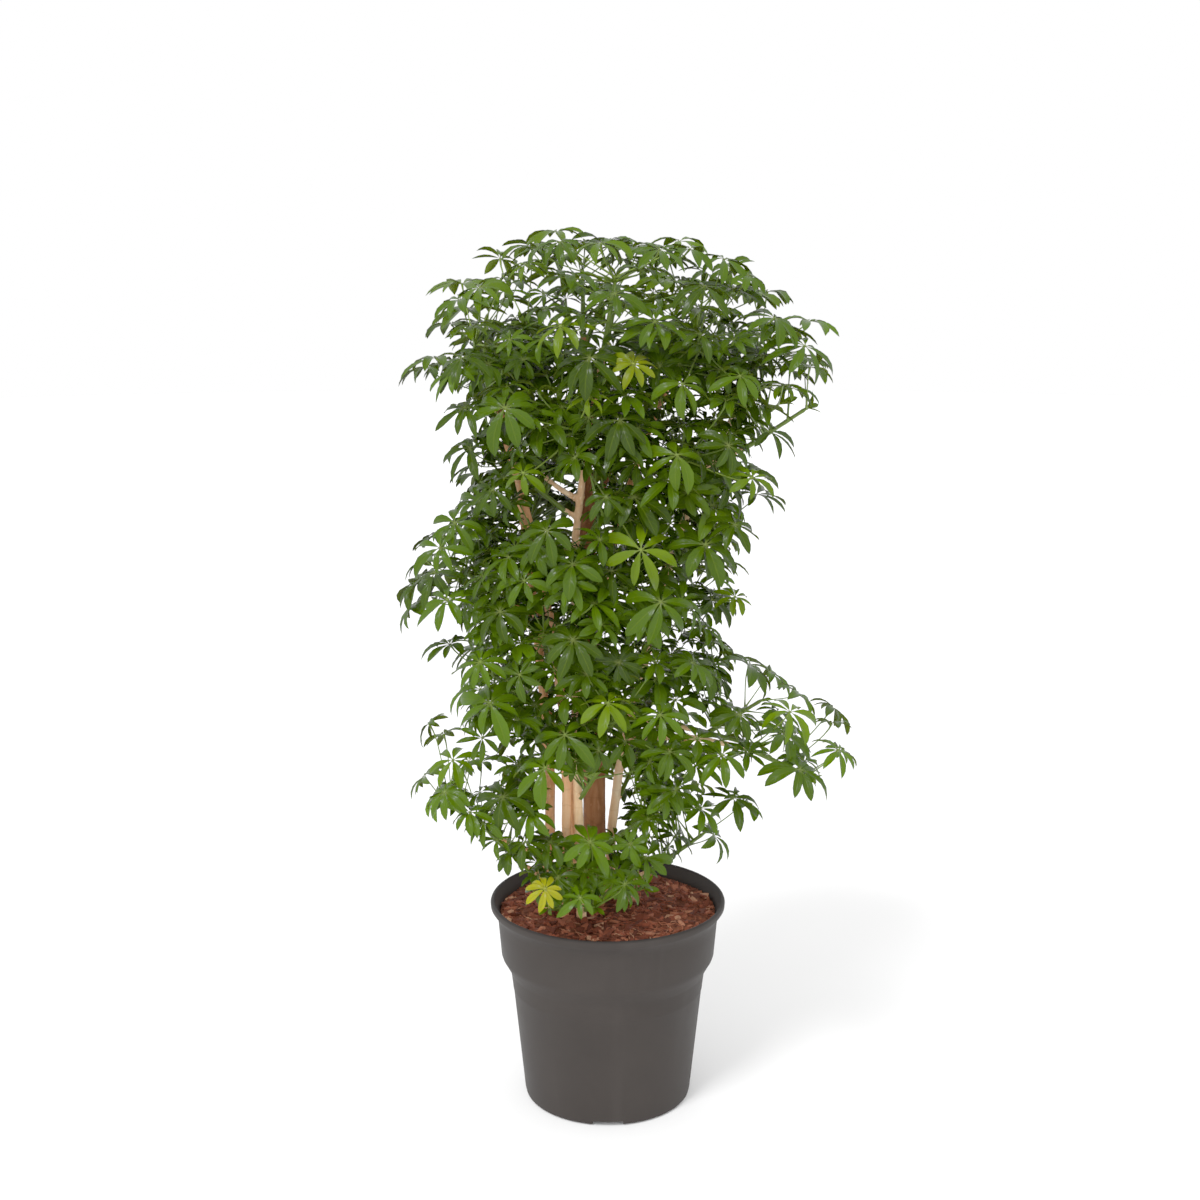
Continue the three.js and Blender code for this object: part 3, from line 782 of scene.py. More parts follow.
def bark_finish(name, dark, mid, pale, rough, cracks):
    paint = Paint(name)
    streak = paint.noise(46, 5, 0.6, where=paint.stretched((1, 1, 0.16)))
    patch = paint.noise(14, 3)
    colour = paint.ramp(streak, (0.3, dark), (0.5, mid), (0.72, pale))
    colour = paint.mix(paint.spread(patch, 0.42, 0.7, 0, 0.55), colour, mid)
    rings = paint.node(
        "ShaderNodeTexWave",
        {"wave_type": "BANDS", "bands_direction": "Z", "wave_profile": "SAW"},
        Vector=paint.place(),
        Scale=9.0,
        Distortion=9.0,
        Detail=3.0,
        Detail_Scale=1.1,
    ).outputs["Fac"]
    scar = paint.spread(rings, 0.9, 1.0)
    colour = paint.mix(paint.math("MULTIPLY", scar, 0.25), colour, dark)
    fleck = paint.spread(paint.noise(260, 2, where=paint.stretched((1, 1, 0.45))), 0.62, 0.72)
    colour = paint.mix(paint.math("MULTIPLY", fleck, 0.45), colour, pale)
    fine = paint.bump(streak, cracks, 0.0016)
    return paint.wear(
        Base_Color=colour,
        Roughness=rough,
        Specular_IOR_Level=0.12,
        Normal=paint.bump(scar, 0.25, 0.0012, fine),
    )


pale_bark = bark_finish("pale_bark", (0.6, 0.26, 0.105), (0.97, 0.6, 0.3), (0.99, 0.8, 0.52), 0.62, 0.5)
tan_bark = bark_finish("tan_bark", (0.34, 0.115, 0.04), (0.8, 0.36, 0.145), (0.94, 0.6, 0.33), 0.68, 0.7)
old_bark = bark_finish("old_bark", (0.07, 0.02, 0.006), (0.2, 0.068, 0.022), (0.4, 0.165, 0.066), 0.8, 1.0)
barks = {TRUNK: old_bark, "stem_front_middle": pale_bark, "stem_right": pale_bark}
for name in sorted(n for n in nodes if n.startswith("stem_")):
    wood = grow_bark(nodes[name])
    wood.data.materials.append(barks.get(name, tan_bark))
    finish_piece(wood, name.replace("stem_", "bark_"), "bark", name)

# %% [markdown]
# ## One leaflet
#
# A leaflet is a narrow blade on its own little stalk. It is widest past its middle, ends in a blunt point,
# and folds slightly along its midrib, so one half is nearly always lighter than the other. It starts as a
# flat grid. The rows are pulled to the outline, the columns are lifted to the fold, and a Solidify modifier
# gives it a real thickness, with its underside in a second material.

# %% The master leaflet, one unit long
ROWS = [0, 0.09, 0.17, 0.35, 0.55, 0.75, 0.9, 1.0]  # places along the blade
HALF_WIDTHS = [0.016, 0.019, 0.058, 0.124, 0.162, 0.142, 0.08, 0.007]
FOLD = 0.5
FOLD_FLATTENS = 0.16  # how much less steep the fold is out at the edge
COLUMNS = 4
THICKNESS = 0.009


def faces_at(obj, edge):
    """How many faces share an edge."""
    ends = set(edge.vertices)
    return sum(ends <= set(p.vertices) for p in obj.data.polygons)


def model_leaflet():
    bpy.ops.mesh.primitive_grid_add(x_subdivisions=COLUMNS, y_subdivisions=len(ROWS) - 1, size=1)
    leaflet = bpy.context.object
    for v in leaflet.data.vertices:
        row = round((v.co.y + 0.5) * (len(ROWS) - 1))
        side = v.co.x * 2
        half = HALF_WIDTHS[row]
        curl = FOLD * abs(side) - FOLD_FLATTENS * side * side
        v.co = Vector((side * half, ROWS[row], curl * half))
    inner = leaflet.vertex_groups.new(name="inner")
    edge = {v for e in leaflet.data.edges if faces_at(leaflet, e) == 1 for v in e.vertices}
    inner.add([v.index for v in leaflet.data.vertices if v.index not in edge], 1, "REPLACE")
    shell = leaflet.modifiers.new("thickness", "SOLIDIFY")
    shell.thickness = THICKNESS
    shell.offset = 0
    shell.vertex_group = "inner"
    shell.thickness_vertex_group = 0
    shell.use_rim = False
    shell.material_offset = 1
    for name in ("top", "under"):
        leaflet.data.materials.append(bpy.data.materials.new(name))
    weld = leaflet.modifiers.new("closed_edge", "WELD")
    weld.merge_threshold = 0.0005
    apply_modifiers(leaflet)
    return leaflet


def uv_of(obj):
    """One map point for each mesh point."""
    found = np.zeros((len(obj.data.vertices), 2))
    found[corners_of(obj.data)] = table_of(obj.data.uv_layers.active.data, "uv", 2)
    return found


master = model_leaflet()
LEAFLET_POINTS = points_of(master)
LEAFLET_FACES = faces_of(master)
LEAFLET_SLOTS = [p.material_index for p in master.data.polygons]
LEAFLET_UV = uv_of(master)
bpy.data.objects.remove(master)
print("a leaflet has", len(LEAFLET_FACES), "faces, materials", sorted(set(LEAFLET_SLOTS)))

# %% [markdown]
# ## Reading the leaves of the solids
#
# In the solids each leaf has one point over its hub where the tops of all its leaflets meet, so that point
# has eighteen edges and is easy to find. Its neighbours give the tips, the tips give the three corners
# where the stalk ends, and these lead down to the face of the shoot that the stalk grows from.

# %% Hubs, stalks and shoots
BLADE_HALF = 1.35 * MM  # from a leaf's hub up to the point over it
EDGES_AT_CROWN = 18
EDGES_AT_SIDE = 5
EDGES_AT_NOTCH = 4
EDGES_AT_TIP = 3
SAME_POINT = 0.002 * MM
EVEN = 0.3 * MM  # lengths that differ by less count as equal


def others(v):
    return [e.other_vert(v) for e in v.link_edges]


def mean(vectors):
    return sum(vectors, Vector()) / len(vectors)


class Leaf:
    """Where a leaf sits: its foot on the shoot, its hub, the way it faces, and its leaflets' tips."""

    def __init__(self, foot, hub, normal, tips, age=None, tone=None):
        self.foot, self.hub, self.normal, self.tips = foot, hub, normal, tips
        self.age, self.tone = age, tone
        side = normal.orthogonal().normalized()
        self.u, self.v = side, normal.cross(side)
        polar = []
        for tip in tips:
            arm = tip - hub
            x, y = arm.dot(self.u), arm.dot(self.v)
            polar.append((math.atan2(y, x), math.hypot(x, y), -arm.dot(normal)))
        self.angles, self.reaches, self.drops = zip(*sorted(polar))
        self.size = sum(self.reaches) / len(polar)

    def at(self, angle):
        """Reach and drop of a leaflet at an angle, between those of the leaf's own tips."""
        period = 2 * math.pi
        reach = np.interp(angle, self.angles, self.reaches, period=period)
        return float(reach), float(np.interp(angle, self.angles, self.drops, period=period))


def read_leaf(crown):
    sides = [v for v in others(crown) if len(v.link_edges) == EDGES_AT_SIDE]
    tips = {w for v in sides for w in others(v) if len(w.link_edges) == EDGES_AT_TIP}
    corners = {w for tip in tips for w in others(tip)} - set(sides)
    notches = [v for v in others(crown) if len(v.link_edges) == EDGES_AT_NOTCH]
    own = {crown, *sides, *tips, *corners, *notches}
    site = {w for corner in corners for w in others(corner)} - own
    normal = (crown.co - mean([c.co for c in corners])).normalized()
    hub = crown.co - normal * BLADE_HALF
    leaf = Leaf(mean([v.co for v in site]), hub, normal, [t.co.copy() for t in tips])
    return leaf, own


def read_shoot(points):
    """Base and bud of a shoot: of all its points, the bud's three furthest ones are equally far."""
    best = None
    for apex in points:
        far = sorted(points, key=lambda p: -(p - apex).length)[:3]
        lengths = [(p - apex).length for p in far]
        uneven = max(lengths) - min(lengths)
        if best is None or uneven - lengths[0] < best[0]:
            if uneven < EVEN:
                best = (uneven - lengths[0], mean(far), apex)
    return best[1], best[2]


class Shoot:
    """A leafy shoot: its node's name, its line from base to bud, and its leaves."""

    def __init__(self, node):
        mesh = bmesh.new()
        mesh.from_mesh(node.data)
        bmesh.ops.remove_doubles(mesh, verts=mesh.verts, dist=SAME_POINT)
        rest = set(mesh.verts)
        self.name, self.leaves = node.name, []
        for crown in [v for v in mesh.verts if len(v.link_edges) == EDGES_AT_CROWN]:
            leaf, own = read_leaf(crown)
            self.leaves.append(leaf)
            rest -= own
        self.base, self.bud = read_shoot([v.co.copy() for v in rest])
        mesh.free()
        self.axis = (self.bud - self.base).normalized()


shoots = [Shoot(nodes[name]) for name in sorted(nodes) if name.startswith("leafy_")]
lengths = [(s.bud - s.base).length / MM for s in shoots]
print(len(shoots), "shoots of", round(min(lengths)), "to", round(max(lengths)), "mm")
print(sum(len(s.leaves) for s in shoots), "leaves on them")

# %% [markdown]
# ## More leaves between them
#
# The solids hold the main leaves. The real plant is fuller, above all in the middle of the crown, where
# the leaves overlap like tiles. Each shoot gets more of them. A new leaf tries many places, stays inside
# the outline that the first leaves draw, faces as its neighbours do, and takes the place that is freest.
# Three places stay bare at the front: two gaps that show the stems, and one over the far side of the rim.

# %% The outline of the crown
# Height, left and right of the dense crown as it is seen from the front, in mm in the plane y = 0.
CROWN = [
    (399, -112, 61), (444, -155, 132), (504, -197, 189), (563, -218, 195), (622, -212, 180),
    (680, -216, 169), (737, -222, 178), (794, -221, 181), (850, -213, 190), (906, -202, 194),
    (962, -190, 198), (1003, -190, 208), (1057, -200, 222), (1111, -215, 266), (1165, -214, 246),
    (1205, -173, 184), (1238, -119, 130),
]
CROWN_MARGIN = 22
# Left, right, low and high of the looser sprays round the crown, in the same plane.
LOOSE_PLACES = [
    (-285, -140, 435, 560), (-285, -190, 735, 850), (100, 205, 430, 620), (200, 290, 500, 605),
    (265, 345, 480, 590),
]
FOOT_PLACE = (-105, 46, 306, 400)  # the young leaves that come up through the mix
FOOT_REACHES_BACK = 40 * MM
# The two gaps that show the stems, and the far side of the rim.
BARE_PLACES = [(-84, 34, 408, 486), (-96, -24, 846, 900), (44, 160, 316, 352)]
BARE_REACHES_BACK = 20 * MM  # leaves further back don't hide what shows there
BLADE_HIDES = 0.65  # how far from its hub a leaf hides things, as a share of its radius


def seen(x, y, z):
    """Where the eye sees a place in the upright plane through the pot's middle, in mm."""
    t = -EYE.y / (y - EYE.y)
    return (EYE.x + (x - EYE.x) * t) / MM, (EYE.z + (z - EYE.z) * t) / MM


def in_crown(hub):
    x, z = seen(*hub)
    heights, lefts, rights = zip(*CROWN)
    if not heights[0] < z < heights[-1]:
        return False
    return np.interp(z, heights, lefts) + CROWN_MARGIN < x < np.interp(z, heights, rights) - CROWN_MARGIN


def in_place(hub, places):
    x, z = seen(*hub)
    return any(left < x < right and low < z < high for left, right, low, high in places)


def room_at(hub):
    """How far apart hubs must be there, or None where no extra leaf may grow."""
    if in_place(hub, [FOOT_PLACE]) and hub.y < FOOT_REACHES_BACK:
        return APART_AT_FOOT
    if in_place(hub, LOOSE_PLACES):
        return LOOSELY_APART
    return float(np.interp(hub.z, DOME, (LEAST_APART, DOME_APART))) if in_crown(hub) else None


def hides_bare_place(hub, size, foot):
    """Whether a leaf or its stalk would come before a place that stays bare."""
    spots = [(hub, BLADE_HIDES * size / MM), (foot.lerp(hub, 0.7), 0), (foot.lerp(hub, 0.4), 0)]
    for spot, rim in spots:
        x, z = seen(*spot)
        for left, right, low, high in BARE_PLACES:
            within = left - rim < x < right + rim and low - rim < z < high + 0.7 * rim
            if within and spot.y < BARE_REACHES_BACK:
                return True
    return False


# %% Sizes and distances of the leaves
MOST_ON_A_SHOOT = 24
TRIES = 64
LEAST_APART = 19 * MM  # between hubs
APART_AT_FOOT = 27 * MM
DOME_APART = 52 * MM
DOME = (1.04, 1.14)  # between these heights the hubs come to stand as far apart as at the top
LOOSELY_APART = 58 * MM
LEAST_BETWEEN_BLADES = 3.4 * MM
NEIGHBOUR = 0.13  # only leaves with their hubs nearer than this can touch
RIM_CLEARANCE = 306 * MM  # leaves stay above this over the rim
MIX_CLEARANCE = 288 * MM
MIX_REACH = 135 * MM  # the radius at which the rim begins to count
BOX_MARGIN = 9 * MM
SOLID_LEAF_RADIUS = 50 * MM
FLATTENED = 0.35  # how much less the first leaves hang than in the solids
LIFT = ((0.5, 0.9, 1.15), (0.15, 0.45, 3.2))  # heights, and how strongly leaves there turn upward
# Height in m, and the radius of the leaves there in mm.
LEAF_RADIUS = [(0.30, 31), (0.45, 37), (0.60, 42), (0.75, 45), (1.10, 47), (1.25, 46)]
# Sample points of a blade: the share of its reach, and of its drop.
SAMPLES = ((0.35, 0.16), (0.68, 0.5), (0.97, 1.0))


def leaf_radius(height):
    heights, radii = zip(*LEAF_RADIUS)
    return float(np.interp(height, heights, radii)) * MM * chance.uniform(0.86, 1.14)


def blade_points(leaf):
    """A few points on each leaflet of a leaf, to keep other leaves off."""
    found = []
    for k in range(8):
        angle = k * math.pi / 4
        reach, drop = leaf.at(angle)
        way = leaf.u * math.cos(angle) + leaf.v * math.sin(angle)
        for share, fall in SAMPLES:
            found.append(leaf.hub + way * reach * share - leaf.normal * drop * fall)
    return np.array(found)


def tips_round(hub, normal, size, droops=(0.05, 0.5)):
    side = normal.orthogonal().normalized()
    other = normal.cross(side)
    tips = []
    droop = chance.uniform(*droops)
    for k in range(6):
        angle = k * math.pi / 3
        reach = size * chance.uniform(0.82, 1.1)
        hang = reach * (droop + chance.uniform(-0.16, 0.22))
        tips.append(hub + (side * math.cos(angle) + other * math.sin(angle)) * reach - normal * hang)
    return tips


def kept_in_box(point):
    """The nearest place in the box of the solids, widened by a few millimetres."""
    low, high = solid_box
    return Vector([min(max(c, a - BOX_MARGIN), b + BOX_MARGIN) for c, a, b in zip(point, low, high)])


def leaves_box(points):
    low, high = np.array(solid_box[0]) - BOX_MARGIN, np.array(solid_box[1]) + BOX_MARGIN
    return bool((points < low).any() or (points > high).any())


def raised(leaf):
    """A leaf of the solids at its real size, held a little flatter: more so at the top of the crown."""
    lift = float(np.interp(leaf.hub.z, *LIFT))
    normal = (leaf.normal + Vector((0, 0, lift))).normalized()
    turn = leaf.normal.rotation_difference(normal)
    shrink = leaf_radius(leaf.hub.z) / SOLID_LEAF_RADIUS
    tips = []
    for tip in leaf.tips:
        arm = (turn @ (tip - leaf.hub)) * shrink
        arm -= normal * arm.dot(normal) * FLATTENED
        tips.append(kept_in_box(leaf.hub + arm))
    return Leaf(leaf.foot, leaf.hub, normal, tips)


for shoot in shoots:
    shoot.leaves = [raised(leaf) for leaf in shoot.leaves]
first_leaves = [leaf for shoot in shoots for leaf in shoot.leaves]
hub_points = [np.array(leaf.hub) for leaf in first_leaves]
hub_normals = [leaf.normal for leaf in first_leaves]
blades = [blade_points(leaf) for leaf in first_leaves]


def too_low(own):
    over_rim = np.hypot(own[:, 0], own[:, 1]) > MIX_REACH
    return bool((own[:, 2] < np.where(over_rim, RIM_CLEARANCE, MIX_CLEARANCE)).any())


def too_close(own, neighbours, least):
    if not neighbours:
        return False
    gaps = np.linalg.norm(own[:, None] - np.concatenate(neighbours)[None], axis=2)
    return bool(gaps.min() < least)


# %% [markdown]
# Some leaves stand out in the plant and give it its face: a big lime one in the middle, a yellow one on the
# mix, dark ones at the rim of the crown. Each is given by its hub in a picture of 1200 by 1200, and by its
# radius there. Three numbers in percent follow: how far it turns to the eye, from 0 where it lies flat, its
# age, from 0 for dark green to 100 for yellow, and its tone, where more is lighter. The leaf grows from the
# nearest shoot, as far to the front as its stalk reaches.

# %% The leaves that stand out
SHOWN_LEAVES = [
    # the top of the crown
    (560, 242, 28, 4, 30, 50), (600, 244, 34, 4, 50, 56), (660, 250, 36, 6, 42, 50),
    (748, 276, 28, 4, 40, 56), (525, 264, 24, 12, 60, 56), (480, 288, 34, 20, 50, 62),
    (460, 300, 36, 4, 40, 50), (705, 286, 38, 9, 12, 44), (615, 294, 38, 27, 26, 56),
    (655, 322, 34, 43, 30, 56), (560, 326, 35, 25, 74, 56), (775, 318, 36, 12, 34, 56),
    (700, 334, 30, 16, 12, 44), (805, 346, 39, 23, 34, 56), (510, 340, 24, 47, 45, 56),
    (590, 358, 40, 39, 2, 50), (633, 364, 26, 47, 86, 56), (462, 358, 39, 12, 16, 44),
    (452, 373, 30, 16, 45, 56), (740, 376, 32, 27, 42, 56), (682, 384, 32, 47, 46, 56),
    (588, 398, 26, 39, 74, 50), (505, 408, 41, 58, 34, 58), (465, 408, 36, 23, 12, 44),
    (620, 420, 39, 35, 3, 44), (770, 432, 34, 12, 10, 44), (470, 448, 36, 23, 10, 44),
    (677, 455, 37, 55, 48, 54), (752, 478, 26, 39, 55, 62), (523, 473, 24, 62, 55, 62),
    (538, 248, 34, 3, 36, 45), (690, 249, 34, 3, 34, 50), (724, 259, 32, 3, 42, 50),
    # the middle
    (634, 497, 39, 35, 4, 50), (606, 497, 25, 40, 10, 44), (493, 490, 26, 55, 15, 44),
    (455, 523, 33, 62, 34, 48), (547, 531, 35, 55, 14, 50), (440, 548, 35, 66, 36, 46),
    (641, 550, 41, 74, 66, 60), (705, 545, 44, 35, 20, 50), (735, 525, 36, 12, 10, 44),
    (524, 581, 34, 62, 30, 56), (447, 600, 36, 35, 42, 54), (661, 602, 42, 62, 26, 56),
    (735, 597, 24, 39, 66, 54), (500, 612, 34, 39, 2, 44), (573, 640, 38, 47, 5, 50),
    (480, 662, 32, 50, 40, 56),
    # the sprays low down
    (490, 703, 38, 60, 40, 58), (608, 703, 34, 16, 66, 50), (660, 715, 34, 47, 36, 54),
    (565, 735, 40, 39, 20, 56), (453, 760, 32, 47, 50, 56), (503, 797, 34, 47, 4, 44),
    (445, 792, 26, 31, 30, 56), (530, 812, 30, 55, 34, 56), (525, 842, 26, 31, 5, 44),
    (790, 712, 36, 31, 56, 56), (800, 770, 35, 23, 16, 50), (838, 750, 30, 12, 45, 56),
    (740, 715, 32, 31, 4, 44), (733, 798, 33, 31, 3, 44), (676, 790, 33, 39, 8, 50),
    (470, 812, 24, 30, 30, 50), (510, 852, 22, 30, 6, 40), (545, 768, 34, 40, 40, 55),
    (697, 739, 34, 30, 20, 50), (722, 755, 34, 30, 30, 46), (670, 752, 32, 30, 16, 50),
    # over the mix
    (590, 842, 31, 55, 38, 52), (550, 842, 26, 47, 12, 50), (484, 822, 26, 30, 20, 50),
    (497, 840, 22, 30, 20, 50), (545, 889, 21, 58, 97, 50), (580, 898, 27, 51, 34, 54),
    (625, 884, 31, 43, 10, 56),
]
STALK_REACH = (26 * MM, 120 * MM)
DEPTHS = range(-212, 120, 5)  # where a shown leaf may stand, in mm, from the front to the back
OUTWARD = 1.6  # how much it leans out from the middle of the plant
TO_THE_EYE = 0.72  # how much of the turn to the eye it makes
STALK_SLANT = 0.25  # how far at least a stalk comes from below its leaf: 0 is level with it, 1 upright
SHOWN_DROOPS = (0.25, 0.6)
LEAST_BETWEEN_SHOWN = 3 * MM  # between the sample points of a shown leaf and of the others


def feet_of_shoots():
    feet = []
    for shoot in shoots:
        feet += [(shoot, shoot.base.lerp(shoot.bud, k / 8)) for k in range(1, 8)]
    return feet


def shown_leaf(across, down, size, *percent):
    """The shoot and the leaf, as far to the front as they fit, or None."""
    facing, age, tone = (number / 100 for number in percent)
    way = eye_line(across, down)
    for y in DEPTHS:
        hub = EYE + way * ((y * MM - EYE.y) / way.y)
        radius = size * (hub - EYE).length / FOCAL
        outward = Vector((hub.x, hub.y, 0)) * OUTWARD
        upright = (Vector((0, 0, 1)) + outward).normalized()
        normal = upright.lerp(-way, TO_THE_EYE * facing).normalized()
        feet = [(s, f) for s, f in FEET if STALK_REACH[0] < (hub - f).length < STALK_REACH[1]]
        feet = [(s, f) for s, f in feet if (hub - f).dot(normal) > STALK_SLANT * (hub - f).length]
        feet = [(s, f) for s, f in feet if not hides_bare_place(hub, 0, f)]
        if not feet:
            continue
        tips = tips_round(hub, normal, radius, SHOWN_DROOPS)
        shoot, foot = min(feet, key=lambda pair: (hub - pair[1]).length)
        leaf = Leaf(foot, hub, normal, [kept_in_box(tip) for tip in tips], age, tone)
        own = blade_points(leaf)
        near = [b for b in blades if np.linalg.norm(b[0] - np.array(hub)) < NEIGHBOUR]
        if not leaves_box(own) and not too_low(own) and not too_close(own, near, LEAST_BETWEEN_SHOWN):
            return shoot, leaf, own
    return None


def keep_leaf(shoot, leaf, own):
    shoot.leaves.append(leaf)
    hub_points.append(np.array(leaf.hub))
    hub_normals.append(leaf.normal)
    blades.append(own)


FEET = feet_of_shoots()
shown = []
for place in SHOWN_LEAVES:
    found = shown_leaf(*place)
    if found:
        keep_leaf(*found)
        shown.append(found[1])
    else:
        print("no room for the leaf at", place[:2])
print(len(shown), "leaves stand out")
BEHIND = 15 * MM  # a leaf that stands further than this behind a shown one can't hide it
SHOWN_KEEPS, OTHER_COVERS = 0.8, 0.55  # the shares of their radii that may not overlap


def hides_shown(hub, size):
    """Whether a leaf there would come before one that stands out."""
    x, z = seen(*hub)
    for leaf in shown:
        a, b = seen(*leaf.hub)
        covers = math.hypot(x - a, z - b) * MM < SHOWN_KEEPS * leaf.size + OTHER_COVERS * size
        if covers and hub.y < leaf.hub.y + BEHIND:
            return True
    return False


# %% Growing the extra leaves
STALK_LENGTHS = (34, 122)  # mm
INNER_SIZE = 0.88  # the size of these leaves as a share of that of the first ones
STALK_AGREES = 0.3  # how far at least a stalk points the way its leaf faces
HIGHER = 4 * MM  # how far a leaf may stand above those near it that were there first
FURTHER_OUT = 2 * MM
WIDE_GAP = 0.05  # a wider gap in the crown counts as no better
FAR_APART = 0.08  # a leaf that stands further from the others counts as no better


def try_leaf(shoot, hubs):
    """One more leaf at a chance place on a shoot, or None where the place is no good."""
    foot = shoot.base.lerp(shoot.bud, chance.uniform(0.12, 0.93))
    around = Matrix.Rotation(chance.uniform(0, 2 * math.pi), 3, shoot.axis)
    way = around @ shoot.axis.orthogonal().normalized()
    way = way + shoot.axis * chance.uniform(0, 1.1) + Vector((0, 0, chance.uniform(-0.3, 0.7)))
    way.normalize()
    hub = foot + way * chance.uniform(*STALK_LENGTHS) * MM
    apart = np.linalg.norm(hubs - np.array(hub), axis=1)
    near = np.argsort(apart[: len(first_leaves) + len(shown)])[:4]
    close = hubs[near]
    room = room_at(hub)
    if room is None or apart.min() < room or hub.z > close[:, 2].max() + HIGHER:
        return None
    if math.hypot(hub.x, hub.y) > np.hypot(close[:, 0], close[:, 1]).max() + FURTHER_OUT:
        return None
    wobble = Vector([chance.uniform(-0.5, 0.5) for _ in range(3)])
    normal = (mean([hub_normals[i] for i in near]) + wobble).normalized()
    size = INNER_SIZE * leaf_radius(hub.z)
    if way.dot(normal) < STALK_AGREES or hides_bare_place(hub, size, foot) or hides_shown(hub, size):
        return None
    leaf = Leaf(foot, hub, normal, tips_round(hub, normal, size))
    own = blade_points(leaf)
    neighbours = [blades[i] for i in np.flatnonzero(apart < NEIGHBOUR)]
    if too_low(own) or leaves_box(own) or too_close(own, neighbours, LEAST_BETWEEN_BLADES):
        return None
    return leaf, own, float(apart.min())


def gap_at(hub, covered):
    """How far a place is from every leaf, as seen from the front and from the side."""
    front, side = covered
    x, z = seen(*hub)
    from_front = np.hypot(front[:, 0] - x, front[:, 1] - z).min() * MM
    from_side = np.hypot(side[:, 0] - hub.y, side[:, 1] - hub.z).min()
    return min(from_front, WIDE_GAP) + 0.3 * min(from_side, WIDE_GAP)


def freest_leaf(shoot, covered):
    """The best of many places for one more leaf: far from the others, and in a gap of the crown."""
    hubs = np.array(hub_points)
    best = None
    for _ in range(TRIES):
        tried = try_leaf(shoot, hubs)
        if not tried:
            continue
        leaf, own, apart = tried
        score = 0.4 * min(apart, FAR_APART) + 2.0 * gap_at(leaf.hub, covered)
        if best is None or score > best[0]:
            best = (score, leaf, own)
    return best


def covered_now():
    """Every sample point of every leaf, as seen from the front and from the side."""
    points = np.concatenate(blades)
    return np.stack(seen(*points.T), 1), points[:, 1:]


for turn in range(MOST_ON_A_SHOOT):
    covered = covered_now()
    for shoot in shoots:
        found = freest_leaf(shoot, covered) if len(shoot.leaves) < MOST_ON_A_SHOOT else None
        if found:
            _, leaf, own = found
            keep_leaf(shoot, leaf, own)
print(len(hub_points) - len(first_leaves), "leaves more, so", len(hub_points), "in all")

# %% [markdown]
# ## From one leaflet to a leaf
#
# Each copy of the leaflet is bent along an arc that starts a little above the leaf's plane and comes down
# to the tips that the leaf was given. No leaflet is quite like its neighbour: each is turned, twisted and
# swept a little.

# %% Bending leaflets into umbrellas
ARCH = (0.35, 0.74)  # half of the angle that a leaflet turns through, from its base to its tip
LEAFLETS = (7, 7, 8, 8, 9)
NARROWER = ((0.9, 1.15), (0.93, 0.84))  # heights, and how broad the leaflets are there
STALK_RADII = [2.2, 1.5, 1.0, 0.9, 0.9, 0.95, 1.2, 1.9]  # mm, from the shoot to the hub
STALK_ROOT = 1.5 * MM  # how far a stalk starts inside its shoot
STALK_SLOT = 2  # the stalks' place in the materials of a spray
SHOOT_ROOT = 9 * MM  # how far a green shoot reaches back into the wood that carries it
SHOOT_RINGS = 12
YOUNG_LEAFLETS = 4


def bent_leaflet(leaf, angle, arch, width, twist, sweep, shrink=1.0):
    reach, drop = leaf.at(angle)
    reach, drop = reach * shrink, drop * shrink
    chord = math.hypot(reach, drop)
    length = chord * arch / math.sin(arch)
    start = arch - math.atan2(drop, reach)
    side, along, up = LEAFLET_POINTS.T
    bend = start - 2 * arch * along
    out = length / (2 * arch) * (math.sin(start) - np.sin(bend))
    rise = length / (2 * arch) * (np.cos(bend) - math.cos(start))
    roll = twist * along
    across = (side * np.cos(roll) - up * np.sin(roll)) * length * width
    above = (side * np.sin(roll) + up * np.cos(roll)) * length * width
    turn = angle + sweep * along * along
    u, v, n = (np.array(w) for w in (leaf.u, leaf.v, leaf.normal))
    radial = np.cos(turn)[:, None] * u + np.sin(turn)[:, None] * v
    sideways = np.cos(turn)[:, None] * v - np.sin(turn)[:, None] * u
    lift = -np.sin(bend)[:, None] * radial + np.cos(bend)[:, None] * n
    flat = radial * out[:, None] + n * rise[:, None]
    return np.array(leaf.hub) + flat + sideways * across[:, None] + lift * above[:, None]


def stalk_of(leaf):
    """A leaf stalk: out of the shoot, and up into the hub from below."""
    foot, hub = leaf.foot, leaf.hub
    length = (hub - foot).length
    way = (hub - foot).normalized()
    one = foot + way * length * 0.35 - Vector((0, 0, 0.02)) * length
    two = hub - leaf.normal.lerp(way, 0.35).normalized() * length * 0.22
    path = []
    for k in range(len(STALK_RADII)):
        t = k / (len(STALK_RADII) - 1)
        a, b, c = foot.lerp(one, t), one.lerp(two, t), two.lerp(hub, t)
        path.append(a.lerp(b, t).lerp(b.lerp(c, t), t))
    path[0] = foot - way * STALK_ROOT
    return tube_along(path, [r * MM for r in STALK_RADII], 6)


def shoot_body(shoot):
    """The green stem of a shoot: it tapers to the bud, and swells a little at every third ring."""
    path, radii = [], []
    for k in range(SHOOT_RINGS):
        t = k / (SHOOT_RINGS - 1)
        path.append(shoot.base.lerp(shoot.bud, t * 0.97))
        radii.append((3.7 - 1.2 * t + (0.35 if k % 3 == 1 else 0.0)) * MM)
    path[0] = path[0] - shoot.axis * SHOOT_ROOT
    radii[-1] = 0.9 * MM
    return tube_along(path, radii, 8)


def young_tuft(shoot):
    """The small leaf whose leaflets stand up round the bud, as unopened ones do."""
    hub = shoot.base.lerp(shoot.bud, 0.93)
    size = chance.uniform(12, 22) * MM
    leaf = Leaf(hub, hub, shoot.axis, tips_round(hub, shoot.axis, size))
    leaf.drops = [-size * chance.uniform(0.8, 1.3) for _ in leaf.drops]
    return leaf


